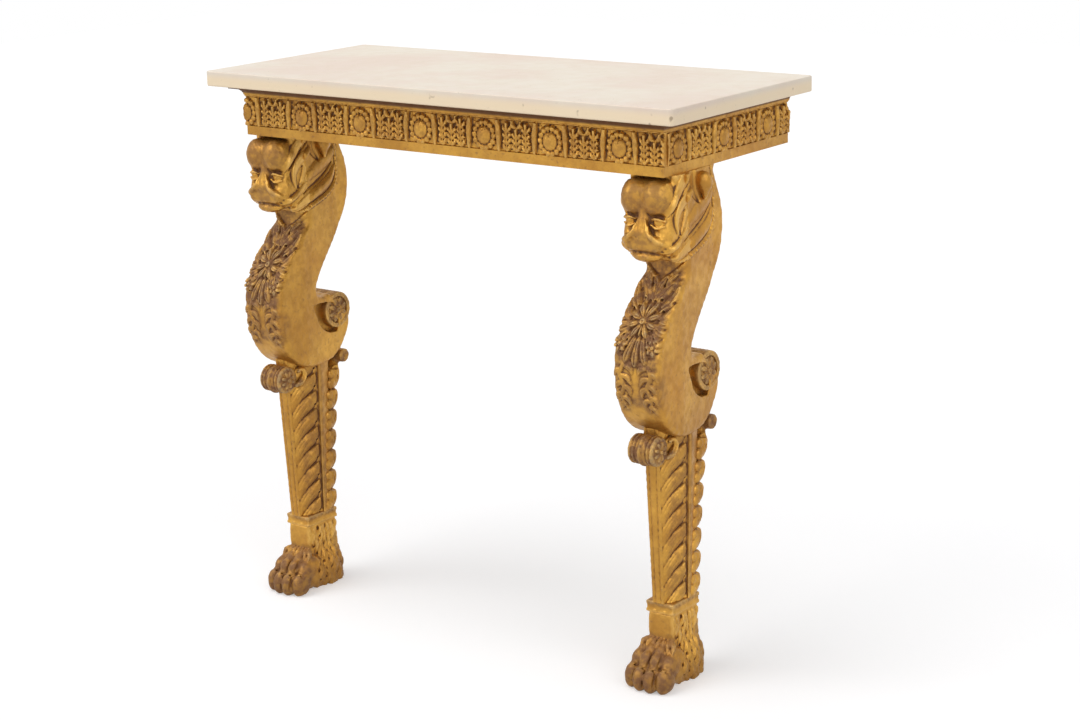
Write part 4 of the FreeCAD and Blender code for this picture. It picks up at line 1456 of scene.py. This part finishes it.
# ---- Finishes --------------------------------------------------------------------------------------
class Bench:
    """A small workbench for one node tree."""

    def __init__(self, tree: bpy.types.NodeTree) -> None:
        """Take up a node tree."""
        self.tree = tree

    def node(self, kind: str, **settings: object) -> bpy.types.Node:
        """Add a node.

        Args:
            kind: Its type.
            settings: Values for its inputs; one with a leading _ is a property of the node instead.

        Returns:
            The node.
        """
        node = self.tree.nodes.new(kind)
        for key, value in settings.items():
            if key.startswith("_"):
                setattr(node, key[1:], value)
            else:
                node.inputs[key.replace("_", " ")].default_value = value
        return node

    def link(self, source: bpy.types.NodeSocket, target: bpy.types.NodeSocket) -> None:
        """Join two sockets."""
        self.tree.links.new(source, target)

    def feed(self, socket: bpy.types.NodeSocket, value: object) -> None:
        """Give a socket a value, or join another socket to it.

        Args:
            socket: The socket.
            value: The value or the other socket.
        """
        if isinstance(value, bpy.types.NodeSocket):
            self.link(value, socket)
        else:
            socket.default_value = value

    def mix(self, share: object, first: object, second: object) -> bpy.types.NodeSocket:
        """Mix two colours.

        Args:
            share: Share of the second colour.
            first: One colour.
            second: The other colour.

        Returns:
            The mixed colour.
        """
        node = self.node("ShaderNodeMix", _data_type="RGBA")
        factor, colours, result = 0, (6, 7), 2
        self.feed(node.inputs[factor], share)
        for number, colour in zip(colours, (first, second)):
            self.feed(node.inputs[number], colour)
        return node.outputs[result]

    def maths(self, operation: str, *values: object) -> bpy.types.NodeSocket:
        """Work out a value.

        Args:
            operation: What to do with the values.
            values: Numbers or sockets.

        Returns:
            The result.
        """
        node = self.node("ShaderNodeMath", _operation=operation)
        for socket, value in zip(node.inputs, values):
            self.feed(socket, value)
        return node.outputs[0]

    def times(self, first: object, second: object) -> bpy.types.NodeSocket:
        """Multiply two values."""
        return self.maths("MULTIPLY", first, second)

    def greater(self, first: object, second: object) -> bpy.types.NodeSocket:
        """The greater of two values."""
        return self.maths("MAXIMUM", first, second)

    def spread(self, value: object, low: float, high: float, to_low: float = 0.0,
               to_high: float = 1.0) -> bpy.types.NodeSocket:
        """Map a value from one range to another, smoothly and held at both ends.

        Args:
            value: The value.
            low: Where its range starts.
            high: Where its range ends.
            to_low: What the start becomes.
            to_high: What the end becomes.

        Returns:
            The mapped value.
        """
        node = self.node("ShaderNodeMapRange", _interpolation_type="SMOOTHSTEP")
        for socket, item in zip(node.inputs, (value, low, high, to_low, to_high)):
            self.feed(socket, item)
        return node.outputs[0]

    def noise(self, where: bpy.types.NodeSocket, scale: float, detail: float = 4.0,
              rough: float = 0.55) -> bpy.types.NodeSocket:
        """Make a cloudy value between 0 and 1.

        Args:
            where: Place to read it at.
            scale: How fine it is.
            detail: How many finer layers it has.
            rough: How strong those layers are.

        Returns:
            The value.
        """
        node = self.node("ShaderNodeTexNoise", Scale=scale, Detail=detail, Roughness=rough)
        self.link(where, node.inputs["Vector"])
        return node.outputs["Fac"]

    def mark(self, mark: Mark) -> bpy.types.NodeSocket:
        """Read one of the carved mesh's marks."""
        return self.node("ShaderNodeAttribute", _attribute_name=mark.value).outputs["Fac"]

    def place(self) -> bpy.types.NodeSocket:
        """Where the point being shaded lies."""
        return self.node("ShaderNodeNewGeometry").outputs["Position"]

    def height(self) -> bpy.types.NodeSocket:
        """Measure how high the point being shaded lies.

        Returns:
            The height in metres.
        """
        split = self.node("ShaderNodeSeparateXYZ")
        self.link(self.place(), split.inputs[0])
        return split.outputs["Z"]

    def mottle(self, tree: bpy.types.NodeTree, scale: float) -> bpy.types.NodeOutputs:
        """Use the shared mottle group at a scale, and give its outputs."""
        return self.node("ShaderNodeGroup", _node_tree=tree, Scale=scale).outputs

    def seen(self, *rays: str) -> bpy.types.NodeSocket:
        """Tell the rays that look at something from those that light the scene.

        Args:
            rays: Kinds of rays that count as looking, beside the camera's own.

        Returns:
            1 for a ray that looks, 0 for another.
        """
        path = self.node("ShaderNodeLightPath")
        seen = path.outputs["Is Camera Ray"]
        for kind in rays:
            seen = self.greater(seen, path.outputs[f"Is {kind} Ray"])
        return seen

    def bump(self, height: bpy.types.NodeSocket, strength: float, depth: float,
             sunk: bool = False) -> bpy.types.NodeSocket:
        """Turn a value into the light and shade of a fine relief.

        Args:
            height: The value.
            strength: How strongly it shows.
            depth: How deep it is, in metres.
            sunk: Whether a high value is a hollow.

        Returns:
            The normal.
        """
        node = self.node("ShaderNodeBump", Strength=strength, Distance=depth, _invert=sunk)
        self.link(height, node.inputs["Height"])
        return node.outputs[0]


@dataclass(frozen=True)
class Finish:
    """What all finishes share: a material with one shader, and the mottle group."""

    mottle: bpy.types.NodeTree

    def start(self, name: str) -> tuple[bpy.types.Material, Bench, bpy.types.NodeInputs]:
        """Start a material.

        Args:
            name: Its name.

        Returns:
            The material, a bench for its node tree, and its shader's inputs.
        """
        material = bpy.data.materials.new(name)
        material.use_nodes = True
        return material, Bench(material.node_tree), material.node_tree.nodes["Principled BSDF"].inputs


def tint(red: int, green: int, blue: int) -> Colour:
    """Turn a colour's everyday 0 to 255 values into a linear one.

    Args:
        red: Red.
        green: Green.
        blue: Blue.

    Returns:
        The linear colour.
    """
    linear = []
    for value in (red, green, blue):
        share = value / 255
        linear.append(share / 12.92 if share <= 0.04045 else ((share + 0.055) / 1.055) ** 2.4)
    return (*linear, 1.0)


def mottle_group() -> bpy.types.NodeTree:
    """Build the shared group that gives cloudy patches and fine specks at a chosen scale.

    Returns:
        The group.
    """
    tree = bpy.data.node_groups.new("mottle", "ShaderNodeTree")
    tree.interface.new_socket("Scale", in_out="INPUT", socket_type="NodeSocketFloat")
    tree.interface.new_socket("Patches", in_out="OUTPUT", socket_type="NodeSocketFloat")
    tree.interface.new_socket("Specks", in_out="OUTPUT", socket_type="NodeSocketFloat")
    bench = Bench(tree)
    take = bench.node("NodeGroupInput")
    give = bench.node("NodeGroupOutput")
    where = bench.node("ShaderNodeVectorMath", _operation="SCALE")
    bench.link(bench.place(), where.inputs[0])
    bench.link(take.outputs["Scale"], where.inputs["Scale"])
    patches = bench.spread(bench.noise(where.outputs[0], 1.0, 5.0, 0.6), 0.35, 0.65)
    specks = bench.spread(bench.noise(where.outputs[0], 9.0, 3.0, 0.7), 0.55, 0.75)
    bench.link(patches, give.inputs["Patches"])
    bench.link(specks, give.inputs["Specks"])
    return tree


@dataclass(frozen=True)
class Gilding(Finish):
    """Old water gilding: warm leaf, brown dirt and painted shade in the hollows, painted highlights on
    the ridges, and clay showing where it is rubbed.

    The plain mouldings get a painted shade, where the slab's shadow falls, between two depths under it,
    in metres. The carved pieces get darker towards the floor, up to a height in metres.
    """

    # The palest leaf is a painted highlight on the ridges.
    highlight_leaf: Colour = tint(232, 188, 106)
    leaf: Colour = tint(216, 163, 70)
    deep_leaf: Colour = tint(180, 124, 48)
    tarnish: Colour = tint(150, 112, 50)
    bole: Colour = tint(124, 84, 50)
    worn: Colour = tint(172, 142, 100)
    # One dark colour serves both for dirt and for painted shade.
    dirt: Colour = tint(102, 62, 24)
    deep_share: float = 0.7
    tarnish_share: float = 0.3
    bole_share: float = 0.16
    highlight_share: float = 0.45
    metal: float = 0.78
    dulled_metal: float = 0.1
    satin: float = 0.33
    broad_scale: float = 5.0
    cloud_scale: float = 14.0
    fine_scale: float = 90.0
    shade_from: float = 0.0150
    full_shade_from: float = 0.0105
    darker_up_to: float = 0.075
    floor_darkening: float = 0.4
    grain_strength: float = 0.35
    grain_depth: float = 0.0006

    def material(self, carved: bool) -> bpy.types.Material:
        """Build the finish.

        Args:
            carved: Whether the mesh carries the carver's marks.

        Returns:
            The material.
        """
        material, bench, shader = self.start("gilding_carved" if carved else "gilding_plain")
        scales = (self.broad_scale, self.cloud_scale, self.fine_scale)
        broad, cloud, fine = (bench.mottle(self.mottle, scale) for scale in scales)
        colour = bench.mix(bench.times(cloud["Patches"], self.deep_share), self.leaf, self.deep_leaf)
        colour = bench.mix(bench.times(broad["Patches"], self.tarnish_share), colour, self.tarnish)
        colour = bench.mix(bench.times(fine["Patches"], self.bole_share), colour, self.bole)
        bare = self.bole
        height = bench.height()
        if carved:
            ridge, hollow, rubbed = (bench.mark(mark) for mark in (Mark.RIDGE, Mark.HOLLOW, Mark.RUBBED))
            wear = bench.times(rubbed, bench.spread(fine["Patches"], 0.0, 1.0, 0.45, 1.0))
            shine = bench.spread(ridge, 0.4, 1.0, 0.0, 0.15)
            bare = bench.mix(bench.spread(ridge, 0.25, 1.0), self.bole, self.worn)
            wear = bench.times(wear, bench.maths("SUBTRACT", 1.0, shine))
            wear = bench.greater(wear, bench.times(cloud["Specks"], 0.4))
            # Painted highlight: the ridges are lightened towards a paler leaf, as where light catches them.
            painted_highlight = bench.spread(ridge, 0.25, 1.0, 0.0, self.highlight_share)
            colour = bench.mix(painted_highlight, colour, self.highlight_leaf)
            # Hollows get brown dirt and painted shade; the pieces also get darker towards the floor.
            towards_floor = bench.spread(height, self.darker_up_to, 0.0, 0.0, self.floor_darkening)
            dirt = bench.greater(bench.spread(hollow, 0.05, 0.62), towards_floor)
        else:
            wear = bench.times(cloud["Specks"], 0.6)
            # Painted shade: the plain mouldings darken just under the slab, where its shadow falls.
            shade = bench.spread(height, SLAB_UNDERSIDE - self.shade_from,
                                 SLAB_UNDERSIDE - self.full_shade_from)
            dirt = bench.greater(bench.times(fine["Specks"], 0.35), shade)
        colour = bench.mix(wear, colour, bare)
        # The dark colour is laid on for dirt and for painted shade alike.
        bench.link(bench.mix(dirt, colour, self.dirt), shader["Base Color"])
        # The leaf is less metallic where it is worn, where it is dirty and where shade is painted.
        dulled = bench.greater(wear, dirt)
        bench.link(bench.spread(dulled, 0.0, 1.0, self.metal, self.dulled_metal), shader["Metallic"])
        rough = bench.maths("MULTIPLY_ADD", fine["Patches"], 0.16, self.satin)
        bench.link(bench.maths("MULTIPLY_ADD", dulled, 0.25, rough), shader["Roughness"])
        grain = bench.maths("MULTIPLY_ADD", cloud["Specks"], 0.6, fine["Patches"])
        bench.link(bench.bump(grain, self.grain_strength, self.grain_depth), shader["Normal"])
        return material


@dataclass(frozen=True)
class Marble(Finish):
    """Honed cream marble with faint clouds, stains and small pits.

    Its edges get warmer between two depths below the top, in metres.
    """

    cream: Colour = tint(236, 225, 208)
    rose: Colour = tint(232, 212, 195)
    ochre: Colour = tint(248, 226, 190)
    stain: Colour = tint(120, 96, 70)
    cream_share: float = 0.25
    warm_share: float = 0.8
    warm_from: float = 0.001
    full_warm_from: float = 0.013
    stain_share: float = 0.8
    chip_scale: float = 85.0
    gloss: float = 0.4
    pit_strength: float = 0.4
    pit_depth: float = 0.0008

    def material(self) -> bpy.types.Material:
        """Build the finish.

        Returns:
            The material.
        """
        material, bench, shader = self.start("marble")
        cloud, fine = bench.mottle(self.mottle, 5.0), bench.mottle(self.mottle, 45.0)
        colour = bench.mix(cloud["Patches"], self.cream, self.rose)
        colour = bench.mix(bench.times(fine["Patches"], self.cream_share), colour, self.cream)
        top = CAD_BOX[1][2]
        side = bench.spread(bench.height(), top - self.warm_from, top - self.full_warm_from)
        colour = bench.mix(bench.times(side, self.warm_share), colour, self.ochre)
        chips = bench.spread(bench.noise(bench.place(), self.chip_scale, 1.0, 0.4), 0.70, 0.80)
        chips = bench.times(chips, side)
        pits = bench.greater(bench.times(fine["Specks"], cloud["Specks"]), bench.times(chips, 0.75))
        colour = bench.mix(bench.times(pits, self.stain_share), colour, self.stain)
        bench.link(colour, shader["Base Color"])
        bench.link(bench.spread(fine["Patches"], 0.0, 1.0, 0.38, 0.5), shader["Roughness"])
        shader["Specular IOR Level"].default_value = self.gloss
        bench.link(bench.bump(pits, self.pit_strength, self.pit_depth, sunk=True), shader["Normal"])
        return material


@dataclass(frozen=True)
class BareWood(Finish):
    """Old bare softwood, dark with age."""

    pale: Colour = tint(138, 104, 68)
    dark: Colour = tint(84, 58, 34)
    dark_share: float = 0.35
    rough: float = 0.72
    stretch: Point = (6.0, 60.0, 90.0)
    grain_strength: float = 0.4
    grain_depth: float = 0.0008

    def material(self) -> bpy.types.Material:
        """Build the finish.

        Returns:
            The material.
        """
        material, bench, shader = self.start("bare_wood")
        stretch = bench.node("ShaderNodeMapping", Scale=self.stretch)
        bench.link(bench.place(), stretch.inputs["Vector"])
        grain = bench.noise(stretch.outputs[0], 1.6, 6.0, 0.65)
        cloud = bench.mottle(self.mottle, 9.0)
        colour = bench.mix(bench.spread(grain, 0.35, 0.7), self.pale, self.dark)
        colour = bench.mix(bench.times(cloud["Patches"], self.dark_share), colour, self.dark)
        bench.link(colour, shader["Base Color"])
        shader["Roughness"].default_value = self.rough
        bench.link(bench.bump(grain, self.grain_strength, self.grain_depth), shader["Normal"])
        return material


@dataclass(frozen=True)
class Iron(Finish):
    """Blackened wrought iron with a little rust."""

    black: Colour = tint(52, 48, 46)
    rust: Colour = tint(104, 62, 38)
    rust_share: float = 0.4
    metal: float = 0.8

    def material(self) -> bpy.types.Material:
        """Build the finish.

        Returns:
            The material.
        """
        material, bench, shader = self.start("iron")
        fine = bench.mottle(self.mottle, 60.0)
        colour = bench.mix(bench.times(fine["Patches"], self.rust_share), self.black, self.rust)
        bench.link(colour, shader["Base Color"])
        shader["Metallic"].default_value = self.metal
        bench.link(bench.spread(fine["Patches"], 0.0, 1.0, 0.5, 0.75), shader["Roughness"])
        return material


def dress_nodes(words: Sequence[str], material: bpy.types.Material) -> None:
    """Give a finish to the construction's own nodes.

    Args:
        words: What the names of the nodes begin or end with.
        material: The finish.
    """
    for name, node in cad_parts.items():
        if name.startswith(tuple(words)) or name.endswith(tuple(words)):
            node.data.materials.clear()
            node.data.materials.append(material)


# ---- Studio ------------------------------------------------------------------------------------------
@dataclass(frozen=True)
class Lamp:
    """A soft lamp far away: the way it is turned, its strength and its width, in degrees."""

    name: str
    turn: Point
    strength: float
    width: float


@dataclass(frozen=True)
class Studio:
    """White floor and backdrop, soft lamps and the camera."""

    eye: Point = (1.9924, -2.5508, 1.2776)
    yaw: float = -37.11
    pitch: float = 15.06
    roll: float = -1.47
    lens: float = 72.60
    sensor_w: float = 36.0
    white: Colour = (1, 1, 1, 1)
    floor_size: float = 14.0
    floor_tone: Colour = (0.72, 0.72, 0.73, 1)
    floor_glow: float = 0.36
    backdrop_light: float = 0.40
    lamps: tuple[Lamp, ...] = (
        Lamp("overhead", (12, 0, -60), 0.68, 30.0),
        Lamp("front", (52, 0, -34), 1.05, 50.0),
        Lamp("right", (55, 0, 60), 0.85, 60.0))

    def camera(self) -> None:
        """Set up the camera."""
        yaw, pitch, turn = (radians(a) for a in (self.yaw, self.pitch, self.roll))
        ahead = Vector((sin(yaw) * cos(pitch), cos(yaw) * cos(pitch), -sin(pitch)))
        right = Vector((cos(yaw), -sin(yaw), 0))
        up = right.cross(ahead)
        leaned = cos(turn) * right + sin(turn) * up
        upright = cos(turn) * up - sin(turn) * right
        data = bpy.data.cameras.new("camera")
        data.lens = self.lens
        data.sensor_width = self.sensor_w
        data.sensor_fit = "HORIZONTAL"
        camera = bpy.data.objects.new("camera", data)
        turned = Matrix((leaned, upright, -ahead)).transposed().to_4x4()
        camera.matrix_world = Matrix.Translation(self.eye) @ turned
        bpy.context.scene.collection.objects.link(camera)
        bpy.context.scene.camera = camera

    def floor(self) -> None:
        """Lay a white floor that keeps soft shadows."""
        half = self.floor_size / 2
        corners = np.array([(-half, -half, 0), (half, -half, 0), (half, half, 0), (-half, half, 0)])
        mesh = mesh_from("floor", corners, np.array([[0, 1, 2, 3]]))
        floor = bpy.data.objects.new("floor", mesh)
        bpy.context.scene.collection.objects.link(floor)
        material = bpy.data.materials.new("floor_white")
        material.use_nodes = True
        material.node_tree.nodes.clear()
        bench = Bench(material.node_tree)
        matt = bench.node("ShaderNodeBsdfDiffuse", Color=self.floor_tone)
        glow = bench.node("ShaderNodeEmission", Color=self.white)
        bench.link(bench.times(bench.seen("Glossy"), self.floor_glow), glow.inputs["Strength"])
        total = bench.node("ShaderNodeAddShader")
        bench.link(matt.outputs[0], total.inputs[0])
        bench.link(glow.outputs[0], total.inputs[1])
        output = bench.node("ShaderNodeOutputMaterial")
        bench.link(total.outputs[0], output.inputs["Surface"])
        mesh.materials.append(material)

    def world(self) -> None:
        """Make the backdrop white to the eye and gentler as a light."""
        world = bpy.data.worlds.new("backdrop")
        bpy.context.scene.world = world
        world.use_nodes = True
        bench = Bench(world.node_tree)
        sky = world.node_tree.nodes["Background"]
        sky.inputs["Color"].default_value = self.white
        seen = bench.seen("Glossy", "Transmission")
        bench.link(bench.spread(seen, 0.0, 1.0, self.backdrop_light, 1.0), sky.inputs["Strength"])

    def hang_lamps(self) -> None:
        """Hang the lamps."""
        for lamp in self.lamps:
            data = bpy.data.lights.new(lamp.name, "SUN")
            data.energy = lamp.strength
            data.angle = radians(lamp.width)
            body = bpy.data.objects.new(lamp.name, data)
            body.rotation_euler = [radians(a) for a in lamp.turn]
            bpy.context.scene.collection.objects.link(body)

    def build(self) -> None:
        """Set up the whole studio."""
        self.camera()
        self.floor()
        self.world()
        self.hang_lamps()
        bpy.context.scene.view_settings.view_transform = "Standard"


def main() -> None:
    """Build the table's looks in order."""
    logging.basicConfig(level=logging.INFO, format="%(name)s: %(message)s")
    Studio().build()
    mottle = mottle_group()
    gilding = Gilding(mottle)
    carved = gilding.material(carved=True)
    dress_nodes(("cornice", "base_fillet"), gilding.material(carved=False))
    dress_nodes(("marble_top",), Marble(mottle).material())
    wood = ("front_rail", "side_rail", "back_rail", "cross_brace", "leg_block", "back_block", "dowel")
    dress_nodes(wood, BareWood(mottle).material())
    dress_nodes(("block_screws", "wall_plates", "plate_screws"), Iron(mottle).material())
    Legs(carved).build()
    Frieze(carved).build()


if __name__ == "__main__":
    main()
